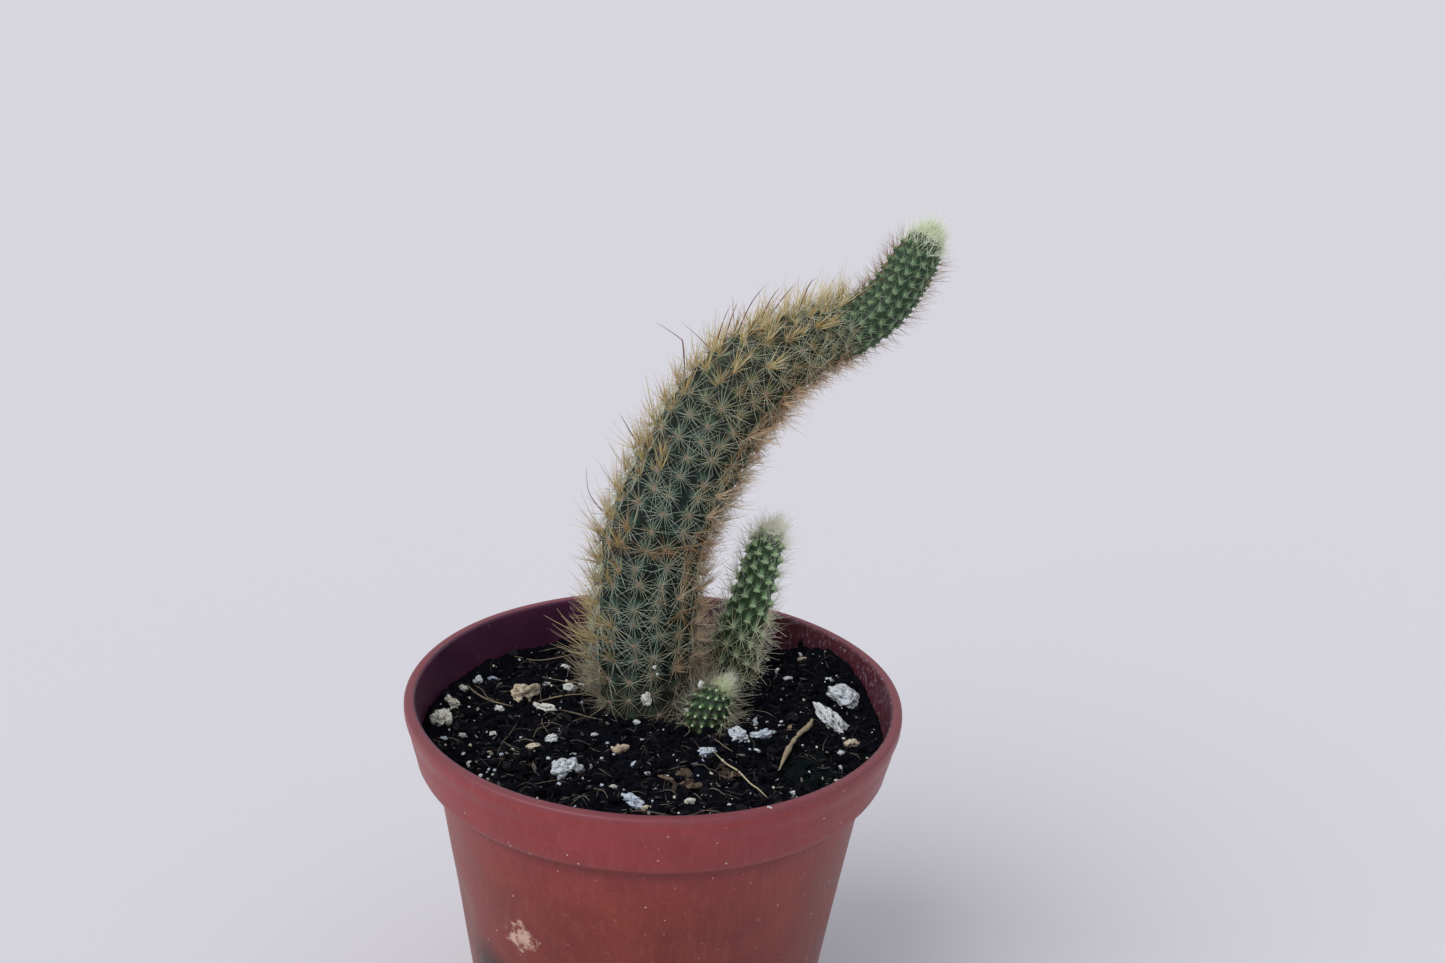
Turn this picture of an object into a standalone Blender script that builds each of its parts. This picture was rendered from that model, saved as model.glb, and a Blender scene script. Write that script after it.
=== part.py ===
"""A potted monkey tail cactus: a plastic nursery pot, its potting soil, and three spined stems.

The origin is the centre of the pot's base, with Z up and -Y towards the viewer. Lengths are in metres.
"""

import math
import random

import bmesh
import bpy
from mathutils import Euler, Matrix, Vector, noise

MM = 0.001
GAP = 0.3 * MM

# Pot: a thin moulded shell with a lip, a band below it, a step and a tapering wall
POT_HEIGHT = 88 * MM
LIP_RADIUS = 52.5 * MM
LIP_DEPTH = 1.3 * MM
BAND_TOP_RADIUS = 51.2 * MM
BAND_FOOT_RADIUS = 50.1 * MM
BAND_DEPTH = 14.5 * MM
BAND_ROUND = 1.4 * MM
WALL_TOP_RADIUS = 45.6 * MM
BASE_RADIUS = 34.8 * MM
WALL = 1.1 * MM
INSIDE_ROUND = 0.6 * MM
POT_SEGMENTS = 48
SHARP_ANGLE = 40
DRAIN_HOLES = 8
DRAIN_RADIUS = 2.5 * MM
DRAIN_CIRCLE = 26 * MM
DRAIN_SIDES = 12

# Soil: its level in the pot, the heap against the wall at the back right, and the crumbs
SOIL_LEVEL = POT_HEIGHT - 11.4 * MM
SOIL_RINGS = 9
BANK_RISE = 2.4 * MM
BANK_WIDTH = 9 * MM
HEAP_PLACE = (42 * MM, 28 * MM)
HEAP_RISE = 6.5 * MM
HEAP_SPREAD = 17 * MM
CRUMB_RISE = 1.3 * MM
CRUMB_SIZE = 5.5 * MM
CALM_WIDTH = 7 * MM

# Crumbs and roots on the soil: how high they lie, how flat they are and how they taper, as shares
LUMP_LIFT = 0.12
LUMP_BREADTH = (0.7, 0.9)
LUMP_HEIGHT = (0.6, 0.8)
TWIG_LIFT = 0.15
TWIG_POINT = 0.55
TWIG_RINGS = (0, 0.3, 0.65, 1)
TWIG_BENDS = 1.5
TWIG_SIDES = 5

# White perlite crumbs that lie in the soil, as x, y and width in millimetres
PERLITE = (
    (-29, 17, 4.6),
    (-24, 11, 3.2),
    (-43.5, 3, 4.2),
    (-17, -17, 5.8),
    (-4, -27, 4.0),
    (43, 15, 6.4),
    (38, 8, 7.2),
    (41.5, -1, 3.6),
    (23, 2, 3.8),
    (9.5, -9.5, 3.4),
    (-8, -8, 3.0),
    (-36, 25, 3.6),
)

# Roots and twigs that lie on the soil, as their two ends and width in millimetres
TWIGS = (
    ((31, 8), (25, -13), 1.5),
    ((13, -12), (24, -26), 1.0),
    ((-40, 21), (-31, 14), 1.0),
)

# Stems: points (x, y, z, radius) along each axis in millimetres, from the end held in the soil to the tip
MAIN_AXIS = (
    (-2.2, 20, 58, 10.4),
    (-2.2, 20, 72, 10.4),
    (-2.3, 20, 79, 11.4),
    (-2.4, 20, 98, 11.3),
    (-1.2, 20, 115, 11.3),
    (3.9, 20, 128, 11.0),
    (9.8, 20, 141.5, 10.6),
    (16.0, 20, 150.5, 10.0),
    (22.4, 20, 156.0, 8.7),
    (31.0, 20, 161.6, 6.8),
    (39.0, 20, 164.9, 5.9),
    (45.2, 20, 170.4, 5.4),
    (50.0, 20, 178.8, 5.0),
    (53.3, 20, 185.6, 4.6),
)
MAIN_RIBS = 14
TALL_AXIS = (
    (15.0, 30.0, 67, 5.0),
    (15.9, 29.6, 74, 5.0),
    (16.8, 29.2, 80, 5.6),
    (18.1, 28.4, 88, 5.4),
    (20.8, 27.8, 98, 4.7),
    (22.8, 27.4, 108, 4.1),
    (24.6, 27.0, 116, 3.6),
)
TALL_RIBS = 14
SMALL_AXIS = (
    (9.2, 7.8, 68, 3.6),
    (10.2, 8.1, 73, 3.6),
    (11.0, 8.3, 76.6, 4.6),
    (12.2, 8.6, 80.4, 5.0),
    (13.7, 8.8, 83.3, 4.4),
    (15.3, 9.0, 86.0, 3.6),
)
SMALL_RIBS = 14

# Relief of the skin and length of the domed tip as shares of the radius, and where the skin starts
VALLEY_DEPTH = 0.13
NOTCH_DEPTH = 0.07
DOME_SHARE = 1.3
SKIN_CLEAR = 0.9 * MM
TIP_CAP = 0.8 * MM
HOLE_SIDES = 24
HOLE_DEPTH = 30 * MM
AXIS_STEPS = 40

# Step from one row of points to the next: a share of the radius and a length added to it
MAIN_ROWS = (0.17, 0.28 * MM)
TALL_ROWS = (0.34, 0.1 * MM)
SMALL_ROWS = (0.17, 0.25 * MM)

# Needles: three-sided, true to length, sunk into the tubercles, leaning out and up along the stem
NEEDLE_RADIUS = 0.34 * MM
NEEDLE_ROOT = 1.0 * MM
SHORT_NEEDLE = 3.4 * MM
LONG_NEEDLE = 7.6 * MM
NEEDLE_CLEAR = 0.7 * MM
NEEDLE_LENGTHS = (1.0, 0.7, 0.45)
NEEDLE_TESTS = 4
NEEDLE_SWAY = 0.25
NEEDLE_RISE = (0.1, 0.75)
LEAST_OUT = 0.25
TIP_RISE = 1.05
EVERY_TIP = 2
EVERY_OTHER_TIP = 4
YOUNG_RADIUS = 4.6 * MM
OLD_RADIUS = 11 * MM


def clear_scene():
    for found in list(bpy.data.objects):
        bpy.data.objects.remove(found, do_unlink=True)


def material(name, colour, roughness):
    made = bpy.data.materials.new(name)
    made.use_nodes = True
    shader = made.node_tree.nodes["Principled BSDF"]
    shader.inputs["Base Color"].default_value = (*colour, 1)
    shader.inputs["Roughness"].default_value = roughness
    shader.inputs["Metallic"].default_value = 0
    return made


def new_object(name, bm, finish):
    """An object that takes over a bmesh."""
    mesh = bpy.data.meshes.new(name)
    bm.to_mesh(mesh)
    bm.free()
    made = bpy.data.objects.new(name, mesh)
    bpy.context.scene.collection.objects.link(made)
    if finish:
        mesh.materials.append(finish)
    return made


def as_cutter(made):
    made.hide_render = True
    made.display_type = "WIRE"
    return made


def arc(centre, radius, start, end, steps):
    """Points of a round corner of a profile, with angles in degrees."""
    angles = [math.radians(start + (end - start) * step / steps) for step in range(steps + 1)]
    return [(centre[0] + radius * math.cos(a), centre[1] + radius * math.sin(a)) for a in angles]


def turned(profile, segments):
    """A bmesh turned round Z from a profile of (radius, height) points with both ends on the axis."""
    bm = bmesh.new()
    verts = [bm.verts.new((radius, 0, height)) for radius, height in profile]
    edges = [bm.edges.new(pair) for pair in zip(verts, verts[1:])]
    bmesh.ops.spin(
        bm,
        geom=verts + edges,
        cent=(0, 0, 0),
        axis=(0, 0, 1),
        angle=math.tau,
        steps=segments,
        use_merge=True,
    )
    bmesh.ops.remove_doubles(bm, verts=bm.verts, dist=GAP / 100)
    bmesh.ops.recalc_face_normals(bm, faces=bm.faces)
    return bm


def pot_inside():
    """The inner profile of the pot, from the lip's inner edge down to the axis."""
    ledge = POT_HEIGHT - BAND_DEPTH + WALL
    lip_radius = BAND_TOP_RADIUS - WALL
    band_radius = BAND_FOOT_RADIUS - WALL
    floor_radius = BASE_RADIUS - WALL
    return [
        (lip_radius + INSIDE_ROUND, POT_HEIGHT),
        (lip_radius, POT_HEIGHT - INSIDE_ROUND),
        (band_radius, ledge + INSIDE_ROUND),
        (band_radius - INSIDE_ROUND, ledge),
        (WALL_TOP_RADIUS - WALL, ledge),
        (floor_radius, WALL + INSIDE_ROUND),
        (floor_radius - INSIDE_ROUND, WALL),
        (0, WALL),
    ]


def build_pot():
    """One thin shell, turned, with a ring of drainage holes through its base."""
    lip_round = LIP_DEPTH / 3
    lip_corner = (LIP_RADIUS - lip_round, POT_HEIGHT - lip_round)
    band_foot = POT_HEIGHT - BAND_DEPTH
    band_corner = (BAND_FOOT_RADIUS - BAND_ROUND, band_foot + BAND_ROUND)
    base_corner = (BASE_RADIUS - WALL / 2, WALL / 2)
    outside = [(0, 0)]
    outside += arc(base_corner, WALL / 2, -90, 0, 2)
    outside += [(WALL_TOP_RADIUS, band_foot)]
    outside += arc(band_corner, BAND_ROUND, -90, 0, 3)
    outside += [(BAND_TOP_RADIUS, POT_HEIGHT - LIP_DEPTH), (LIP_RADIUS, POT_HEIGHT - LIP_DEPTH)]
    outside += arc(lip_corner, lip_round, 0, 90, 2)
    plastic = material("terracotta_plastic", (0.21, 0.045, 0.04), 0.42)
    pot = new_object("pot", turned(outside + pot_inside(), POT_SEGMENTS), plastic)

    bm = bmesh.new()
    for hole in range(DRAIN_HOLES):
        angle = math.tau * (hole + 0.5) / DRAIN_HOLES
        centre = Matrix.Translation((DRAIN_CIRCLE * math.cos(angle), DRAIN_CIRCLE * math.sin(angle), 0))
        bmesh.ops.create_cone(
            bm,
            cap_ends=True,
            segments=DRAIN_SIDES,
            radius1=DRAIN_RADIUS,
            radius2=DRAIN_RADIUS,
            depth=4 * WALL,
            matrix=centre,
        )
    cutter = as_cutter(new_object("drain_hole_cutter", bm, None))
    cut = pot.modifiers.new("drain_holes", "BOOLEAN")
    cut.operation = "DIFFERENCE"
    cut.solver = "EXACT"
    cut.object = cutter
    pot.data.shade_smooth()
    pot.data.set_sharp_from_angle(angle=math.radians(SHARP_ANGLE))
    return pot


def smooth_axis(points):
    """Many (x, y, z, radius) points in metres on a smooth curve through the given ones."""
    knots = [Vector(point) * MM for point in points]
    knots = [2 * knots[0] - knots[1]] + knots + [2 * knots[-1] - knots[-2]]
    curve = []
    for before, start, end, after in zip(knots, knots[1:], knots[2:], knots[3:]):
        for step in range(AXIS_STEPS):
            t = step / AXIS_STEPS
            linear = end - before
            square = 2 * before - 5 * start + 4 * end - after
            cube = 3 * start - before - 3 * end + after
            curve.append(start + 0.5 * (linear * t + square * t**2 + cube * t**3))
    curve.append(knots[-2])
    return curve


def surface_distance(place, axis):
    """How far a place is outside the stem with this smooth axis."""
    return min((place - point.xyz).length - point.w for point in axis)


def soil_height(x, y, axes):
    """Height of the soil at x, y: level in the middle, banked at the wall, heaped, and crumbly."""
    place = Vector((x, y, 0))
    heap = (place - Vector((*HEAP_PLACE, 0))).length / HEAP_SPREAD
    bank = max(0, 1 - (BAND_FOOT_RADIUS - place.length) / BANK_WIDTH)
    level = SOIL_LEVEL + HEAP_RISE * math.exp(-(heap**2)) + BANK_RISE * bank**2
    stems = [surface_distance(Vector((x, y, SOIL_LEVEL)), axis) for axis in axes]
    calm = min(1, max(0, min(stems) / CALM_WIDTH))
    return level + CRUMB_RISE * calm * noise.noise(place / CRUMB_SIZE)


def lump(x, y, width, axes, rng):
    """A perlite crumb: a small faceted ball, squashed, turned, and sunk into the soil to a third."""
    bm = bmesh.new()
    bmesh.ops.create_icosphere(bm, subdivisions=1, radius=width / 2)
    turn = Euler([rng.uniform(0, math.tau) for _ in range(3)]).to_matrix().to_4x4()
    squash = Matrix.Diagonal((1, rng.uniform(*LUMP_BREADTH), rng.uniform(*LUMP_HEIGHT), 1))
    place = Matrix.Translation((x, y, soil_height(x, y, axes) + LUMP_LIFT * width))
    bm.transform(place @ turn @ squash)
    return new_object("perlite_crumb", bm, None)


def twig(start, end, width, axes):
    """A root lying on the soil: a bent five-sided stick, half sunk, thinner at its ends."""
    bm = bmesh.new()
    way = Vector((end[0] - start[0], end[1] - start[1], 0))
    across = way.normalized().cross(Vector((0, 0, 1)))
    rings = []
    for share in TWIG_RINGS:
        sway = width * math.sin(share * math.pi * TWIG_BENDS)
        x = start[0] + way.x * share - across.x * sway
        y = start[1] + way.y * share - across.y * sway
        half = width / 2 * (TWIG_POINT if share in (0, 1) else 1)
        centre = Vector((x, y, soil_height(x, y, axes) + TWIG_LIFT * width))
        ring = []
        for corner in range(TWIG_SIDES):
            angle = math.tau * corner / TWIG_SIDES
            offset = across * (half * math.cos(angle)) + Vector((0, 0, half * math.sin(angle)))
            ring.append(bm.verts.new(centre + offset))
        rings.append([bm.edges.new(pair) for pair in zip(ring, ring[1:] + ring[:1])])
    for low, high in zip(rings, rings[1:]):
        bmesh.ops.bridge_loops(bm, edges=low + high)
    bmesh.ops.holes_fill(bm, edges=bm.edges, sides=TWIG_SIDES)
    bmesh.ops.recalc_face_normals(bm, faces=bm.faces)
    return new_object("twig", bm, None)


def build_soil(axes, holes):
    """The plug of potting soil that fills the pot, with a plain hole for each stem and crumbs fused on."""
    rng = random.Random(7)
    inside = pot_inside()
    side = [(radius - GAP, height + GAP) for radius, height in inside[2:-1]]
    side[-1] = (side[-1][0], WALL + GAP)
    edge_radius = side[0][0]
    top = [(edge_radius * ring / SOIL_RINGS, SOIL_LEVEL) for ring in range(SOIL_RINGS + 1)]
    bm = turned(top + side + [(0, WALL + GAP)], POT_SEGMENTS)
    for vert in bm.verts:
        if abs(vert.co.z - SOIL_LEVEL) < GAP / 10:
            vert.co.z = soil_height(vert.co.x, vert.co.y, axes)
    soil = new_object("soil", bm, material("potting_soil", (0.012, 0.011, 0.012), 0.95))

    lumps = [lump(x * MM, y * MM, width * MM, axes, rng) for x, y, width in PERLITE]
    for start, end, width in TWIGS:
        ends = [Vector(point) * MM for point in (start, end)]
        lumps.append(twig(*ends, width * MM, axes))
    fuse(soil, lumps)
    cut = soil.modifiers.new("stem_holes", "BOOLEAN")
    cut.operation = "DIFFERENCE"
    cut.solver = "EXACT"
    cut.operand_type = "COLLECTION"
    cut.collection = bpy.data.collections.new("stem_hole_cutters")
    for hole in holes:
        cut.collection.objects.link(hole)
    return soil


def fuse(body, pieces):
    """Joins pieces to a body with one Boolean, applies it and removes them."""
    group = bpy.data.collections.new(body.name + "_pieces")
    for piece in pieces:
        group.objects.link(piece)
    join = body.modifiers.new("join", "BOOLEAN")
    join.operation = "UNION"
    join.solver = "MANIFOLD"
    join.operand_type = "COLLECTION"
    join.collection = group
    bpy.context.view_layer.update()
    evaluated = body.evaluated_get(bpy.context.evaluated_depsgraph_get())
    joined = bpy.data.meshes.new_from_object(evaluated)
    body.modifiers.remove(join)
    body.data = joined
    for piece in pieces:
        bpy.data.objects.remove(piece, do_unlink=True)
    bpy.data.collections.remove(group)


def along(axis):
    """Length along a smooth axis at each of its points."""
    lengths = [0.0]
    for start, end in zip(axis, axis[1:]):
        lengths.append(lengths[-1] + (end.xyz - start.xyz).length)
    return lengths


def station(axis, lengths, length):
    """Place, outward directions, tangent and radius of a stem at a length along its axis."""
    last = len(axis) - 1
    index = next((i for i in range(last) if lengths[i + 1] >= length), last - 1)
    share = (length - lengths[index]) / (lengths[index + 1] - lengths[index])
    point = axis[index].lerp(axis[index + 1], share)
    before = axis[max(index - AXIS_STEPS // 2, 0)]
    after = axis[min(index + 1 + AXIS_STEPS // 2, last)]
    tangent = (after.xyz - before.xyz).normalized()
    back = Vector((0, 1, 0))
    back = (back - tangent * back.dot(tangent)).normalized()
    return point.xyz, back.cross(tangent), back, tangent, point.w


def relief(row, column):
    """Share of the radius: whole on a tubercle's tip, less in the notches and the valleys between ribs."""
    if column % 2:
        return 1 - VALLEY_DEPTH
    if (row + column // 2) % 2:
        return 1 - NOTCH_DEPTH
    return 1.0


def dome(length, total, radius):
    """Share of the radius left where a stem rounds off to its tip."""
    depth = 1 - (total - length) / (DOME_SHARE * radius)
    return math.sqrt(max(0, 1 - max(0, depth) ** 2))


def needle(root, direction, length):
    """A three-sided spike from a root inside the skin."""
    bm = bmesh.new()
    depth = length + NEEDLE_ROOT
    bmesh.ops.create_cone(bm, cap_ends=True, segments=3, radius1=NEEDLE_RADIUS, radius2=0, depth=depth)
    turn = direction.to_track_quat("Z", "Y").to_matrix().to_4x4()
    lift = Matrix.Translation((0, 0, depth / 2 - NEEDLE_ROOT))
    bm.transform(Matrix.Translation(root) @ turn @ lift)
    return new_object("needle", bm, None)


def needle_fits(root, tip, own, others, axes):
    """Whether a needle stays on its own stem's side of the gaps, and above the soil."""
    for test in range(1, NEEDLE_TESTS + 1):
        place = root.lerp(tip, test / NEEDLE_TESTS)
        if place.z < soil_height(place.x, place.y, axes) + NEEDLE_CLEAR and place.z < POT_HEIGHT:
            return False
        own_side = surface_distance(place, own)
        if any(surface_distance(place, other) < own_side + NEEDLE_CLEAR for other in others):
            return False
    return True


def ground_below(axis, radius, axes):
    """The highest soil that touches a stem with this axis, where it leaves the soil."""
    foot = next(point for point in axis if point.z > SOIL_LEVEL)
    angles = [math.tau * step / 8 for step in range(8)]
    reach = radius + NEEDLE_CLEAR
    round_foot = [(foot.x + reach * math.cos(a), foot.y + reach * math.sin(a)) for a in angles]
    return max(soil_height(x, y, axes) for x, y in round_foot)


def stem_rows(axis, lengths, step, axes):
    """Lengths along the axis of the rows of points: two for the plain end, then the skin's."""
    share, added = step
    ground = ground_below(axis, axis[0].w, axes)
    foot = next(length for point, length in zip(axis, lengths) if point.z > ground)
    tangent = station(axis, lengths, foot)[3]
    droop = axis[0].w * math.sqrt(max(0, 1 - tangent.z**2))
    top = ground + SKIN_CLEAR + droop
    start = next(length for point, length in zip(axis, lengths) if point.z > top)
    rows = [0.0, start - SKIN_CLEAR / 2, start]
    while rows[-1] < lengths[-1]:
        rows.append(rows[-1] + share * station(axis, lengths, rows[-1])[4] + added)
    return [length for length in rows if length < lengths[-1] - TIP_CAP]


def build_skin(name, axis, ribs, rows, finish):
    """The stem's closed skin, and each tubercle's row, rib, tip, outward lean, tangent and radius."""
    lengths = along(axis)
    columns = 2 * ribs
    bm = bmesh.new()
    tips = []
    loops = []
    places = []
    for row, length in enumerate(rows):
        place, right, back, tangent, radius = station(axis, lengths, length)
        rounding = dome(length, lengths[-1], radius)
        plain = axis[0].w if row < 2 else radius * rounding
        ring = []
        for column in range(columns):
            angle = math.tau * column / columns
            out = right * math.cos(angle) + back * math.sin(angle)
            ring.append(bm.verts.new(place + out * plain))
            share = 1 if row < 2 else relief(row, column)
            places.append((ring[-1], place + out * plain * share))
            if row >= 2 and share == 1:
                lean = (out * max(rounding, LEAST_OUT) + tangent * (TIP_RISE - rounding)).normalized()
                tips.append((row, column // 2, place + out * plain, lean, tangent, radius))
        loops.append([bm.edges.new(pair) for pair in zip(ring, ring[1:] + ring[:1])])
    for low, high in zip(loops, loops[1:]):
        bmesh.ops.bridge_loops(bm, edges=low + high)
    bmesh.ops.contextual_create(bm, geom=loops[0])
    crown = bm.verts.new(axis[-1].xyz)
    for edge in loops[-1]:
        bm.faces.new((*edge.verts, crown))
    bmesh.ops.recalc_face_normals(bm, faces=bm.faces)
    for vert, moved in places:
        vert.co = moved
    bmesh.ops.triangulate(bm, faces=bm.faces, quad_method="SHORT_EDGE")
    tips.append((0, 0, axis[-1].xyz, tangent, tangent, axis[-1].w))
    return new_object(name, bm, finish), tips


def build_stem(name, axis, ribs, step, needle_step, finish, axes, seed):
    """A stem: a plain end for its soil hole, then rows of tubercles on ribs, with needles fused on."""
    rng = random.Random(seed)
    others = [other for other in axes if other is not axis]
    rows = stem_rows(axis, along(axis), step, axes)
    stem, tips = build_skin(name, axis, ribs, rows, finish)
    pieces = []
    for row, rib, root, lean, tangent, radius in tips:
        age = min(1, max(0, (radius - YOUNG_RADIUS) / (OLD_RADIUS - YOUNG_RADIUS)))
        full = SHORT_NEEDLE + (LONG_NEEDLE - SHORT_NEEDLE) * age
        sway = Vector([rng.uniform(-NEEDLE_SWAY, NEEDLE_SWAY) for _ in range(3)])
        direction = (lean + tangent * rng.uniform(*NEEDLE_RISE) + sway).normalized()
        if (row - rib) % needle_step:
            continue
        for share in NEEDLE_LENGTHS:
            end = root + direction * full * share
            if needle_fits(root, end, axis, others, axes):
                pieces.append(needle(root, direction, full * share))
                break
    fuse(stem, pieces)
    return stem


def stem_hole(name, points):
    """A plain round cutter a little wider than the end that a stem holds in the soil."""
    low = Vector(points[0])
    high = Vector(points[1])
    way = (high - low).xyz.normalized()
    bottom = low.xyz * MM - way * GAP
    bm = bmesh.new()
    radius = low.w * MM + GAP
    bmesh.ops.create_cone(
        bm,
        cap_ends=True,
        segments=HOLE_SIDES,
        radius1=radius,
        radius2=radius,
        depth=HOLE_DEPTH,
    )
    turn = way.to_track_quat("Z", "Y").to_matrix().to_4x4()
    bm.transform(Matrix.Translation(bottom + way * HOLE_DEPTH / 2) @ turn)
    return as_cutter(new_object(name, bm, None))


def main():
    clear_scene()
    axes = [smooth_axis(points) for points in (MAIN_AXIS, TALL_AXIS, SMALL_AXIS)]
    old_green = material("old_stem_skin", (0.028, 0.068, 0.042), 0.6)
    young_green = material("young_stem_skin", (0.05, 0.13, 0.04), 0.55)
    fresh_green = material("fresh_stem_skin", (0.06, 0.16, 0.05), 0.55)
    build_pot()
    holes = [
        stem_hole(name, points)
        for name, points in (
            ("main_hole_cutter", MAIN_AXIS),
            ("tall_hole_cutter", TALL_AXIS),
            ("small_hole_cutter", SMALL_AXIS),
        )
    ]
    build_soil(axes, holes)
    build_stem("main_stem", axes[0], MAIN_RIBS, MAIN_ROWS, EVERY_OTHER_TIP, old_green, axes, 1)
    build_stem("tall_offset", axes[1], TALL_RIBS, TALL_ROWS, EVERY_TIP, young_green, axes, 2)
    build_stem("small_offset", axes[2], SMALL_RIBS, SMALL_ROWS, EVERY_TIP, fresh_green, axes, 3)


main()
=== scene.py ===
"""The looks of a potted monkey tail cactus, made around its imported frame. Lengths are in metres."""

import math
import random

import bmesh
import bpy
from mathutils import Matrix, Vector, noise


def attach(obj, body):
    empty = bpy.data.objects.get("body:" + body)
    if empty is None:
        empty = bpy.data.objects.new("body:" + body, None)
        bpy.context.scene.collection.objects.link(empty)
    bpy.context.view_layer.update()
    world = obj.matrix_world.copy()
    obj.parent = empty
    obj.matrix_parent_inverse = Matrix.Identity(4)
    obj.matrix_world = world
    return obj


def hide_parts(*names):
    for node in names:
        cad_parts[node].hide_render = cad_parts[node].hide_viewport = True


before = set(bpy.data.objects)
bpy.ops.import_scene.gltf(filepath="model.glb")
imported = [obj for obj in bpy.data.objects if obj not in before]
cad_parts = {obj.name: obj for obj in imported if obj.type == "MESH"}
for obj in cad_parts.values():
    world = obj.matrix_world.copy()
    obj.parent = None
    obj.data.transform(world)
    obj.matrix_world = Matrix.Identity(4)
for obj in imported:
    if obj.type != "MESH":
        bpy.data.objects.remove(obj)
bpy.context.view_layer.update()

MM = 0.001

# Camera: where the photograph was taken from, found from the ellipse of the pot's rim.
# A 50 mm lens on a 36 mm wide picture, in front of the pot and looking down on it.
CAMERA_PLACE = Vector((0, -381.0, 282.1)) * MM
CAMERA_TURN = (69.07, -2.62, -0.83)
LENS = 50
PICTURE_WIDTH = 36

camera_data = bpy.data.cameras.new("camera")
camera_data.lens = LENS
camera_data.sensor_width = PICTURE_WIDTH
camera_data.clip_start = 10 * MM
camera = bpy.data.objects.new("camera", camera_data)
camera.location = CAMERA_PLACE
camera.rotation_euler = [math.radians(angle) for angle in CAMERA_TURN]
bpy.context.scene.collection.objects.link(camera)
bpy.context.scene.camera = camera


# Pot: a thin nursery pot, moulded in one shot of terracotta-coloured polypropylene.
# A lip and a wide band stiffen its rim, a step under the band lets such pots stack, and the wall tapers
# to a flat base with a ring of drainage holes. It has been handled, so it is a little out of round.
POT_HEIGHT = 88 * MM
LIP_RADIUS = 52.5 * MM
LIP_DEPTH = 1.5 * MM
LIP_ROUND = 0.7 * MM
LIP_FLARE = 5.5 * MM
FLARE_STEPS = 6
BAND_TOP_RADIUS = 51.2 * MM
BAND_FOOT_RADIUS = 50.1 * MM
BAND_DEPTH = 14.5 * MM
BAND_ROUND = 3.2 * MM
STEP_ROUND = 2.0 * MM
WALL_TOP_RADIUS = 45.6 * MM
BASE_RADIUS = 34.8 * MM
WALL = 1.1 * MM
INSIDE_ROUND = 0.6 * MM
POT_SEGMENTS = 144
POT_STEP = 4 * MM
POT_SHARP = math.radians(50)
DRAIN_HOLES = 8
DRAIN_RADIUS = 2.5 * MM
DRAIN_CIRCLE = 26 * MM
DRAIN_SIDES = 32
WARP_DEPTH = 0.2 * MM
WARP_SIZE = 28 * MM
DENT_PLACE = Vector((-38.2, -15.8, 44.6)) * MM
DENT_WIDTH = 6 * MM
DENT_DEPTH = 0.7 * MM
BROWN_HEIGHTS = (80 * MM, 60 * MM)
DARK_HEIGHTS = (66 * MM, 30 * MM)
# Heights between which the top of the lip gets its painted highlight
LIP_HIGHLIGHT_HEIGHTS = (86.2 * MM, 87.8 * MM)
# Painted shadow under the band: its height, and the widths over which it fades out
BAND_SHADOW_HEIGHT = POT_HEIGHT - BAND_DEPTH - 0.9 * MM
BAND_SHADOW_WIDTHS = (3.0 * MM, 0.3 * MM)
CHALK_PLACE = (-25.0 * MM, -33.8 * MM, 49.0 * MM)
CHALK_WIDTH = 8 * MM
# A darker patch low on the wall, below the chalk
DARK_PATCH_PLACE = (-31.5 * MM, -24.5 * MM, 32.5 * MM)
DARK_PATCH_WIDTHS = (10.5 * MM, 3 * MM)


def linear(code):
    """Linear colour, with alpha, of an sRGB hex value."""
    parts = [int(code[start : start + 2], 16) / 255 for start in (1, 3, 5)]
    return [part / 12.92 if part <= 0.04045 else ((part + 0.055) / 1.055) ** 2.4 for part in parts] + [1]


def new_finish(name, roughness, ior, gloss):
    """A material and its shader, with the values that are the same all over it."""
    finish = bpy.data.materials.new(name)
    finish.use_nodes = True
    shader = finish.node_tree.nodes["Principled BSDF"]
    shader.inputs["Roughness"].default_value = roughness
    shader.inputs["IOR"].default_value = ior
    shader.inputs["Specular IOR Level"].default_value = gloss
    return finish, shader


def add_node(finish, kind, settings=None, links=None, stops=()):
    """Adds a node with its settings, its links from outputs to sockets, and the colours of its ramp."""
    made = finish.node_tree.nodes.new("ShaderNode" + kind)
    for name, value in (settings or {}).items():
        if isinstance(name, int) or name in made.inputs:
            made.inputs[name].default_value = value
        else:
            setattr(made, name, value)
    for name, source in (links or {}).items():
        finish.node_tree.links.new(source, made.inputs[name])
    for index, (place, colour) in enumerate([*stops[:1], *stops[-1:], *stops[1:-1]]):
        ramp = made.color_ramp.elements
        stop = ramp[index] if index < 2 else ramp.new(place)
        stop.position = place
        stop.color = linear(colour)
    return made.outputs


def uneven(finish, tone, pattern, strength, stops):
    """A ramp's colour for a tone that a pattern makes uneven by its strength."""
    spread = {"operation": "MULTIPLY_ADD", 1: strength, 2: -strength / 2}
    spread = add_node(finish, "Math", spread, {0: pattern})[0]
    tone = add_node(finish, "Math", {"operation": "ADD"}, {0: spread, 1: tone})[0]
    return add_node(finish, "ValToRGB", None, {"Fac": tone}, stops)["Color"]


def cover(finish, colour, over, value, start, end, strength=1.0, patches=None):
    """Lays a colour over one, from none where a value is at its start to its strength at its end."""
    share = {"From Min": start, "From Max": end, "To Max": strength}
    share = add_node(finish, "MapRange", share, {"Value": value})["Result"]
    if patches:
        both = {"operation": "MULTIPLY", "use_clamp": True}
        share = add_node(finish, "Math", both, {0: share, 1: patches})[0]
    if isinstance(over, str):
        return add_node(finish, "Mix", {"data_type": "RGBA", 7: linear(over)}, {0: share, 6: colour})[2]
    return add_node(finish, "Mix", {"data_type": "RGBA"}, {0: share, 6: colour, 7: over})[2]


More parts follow.
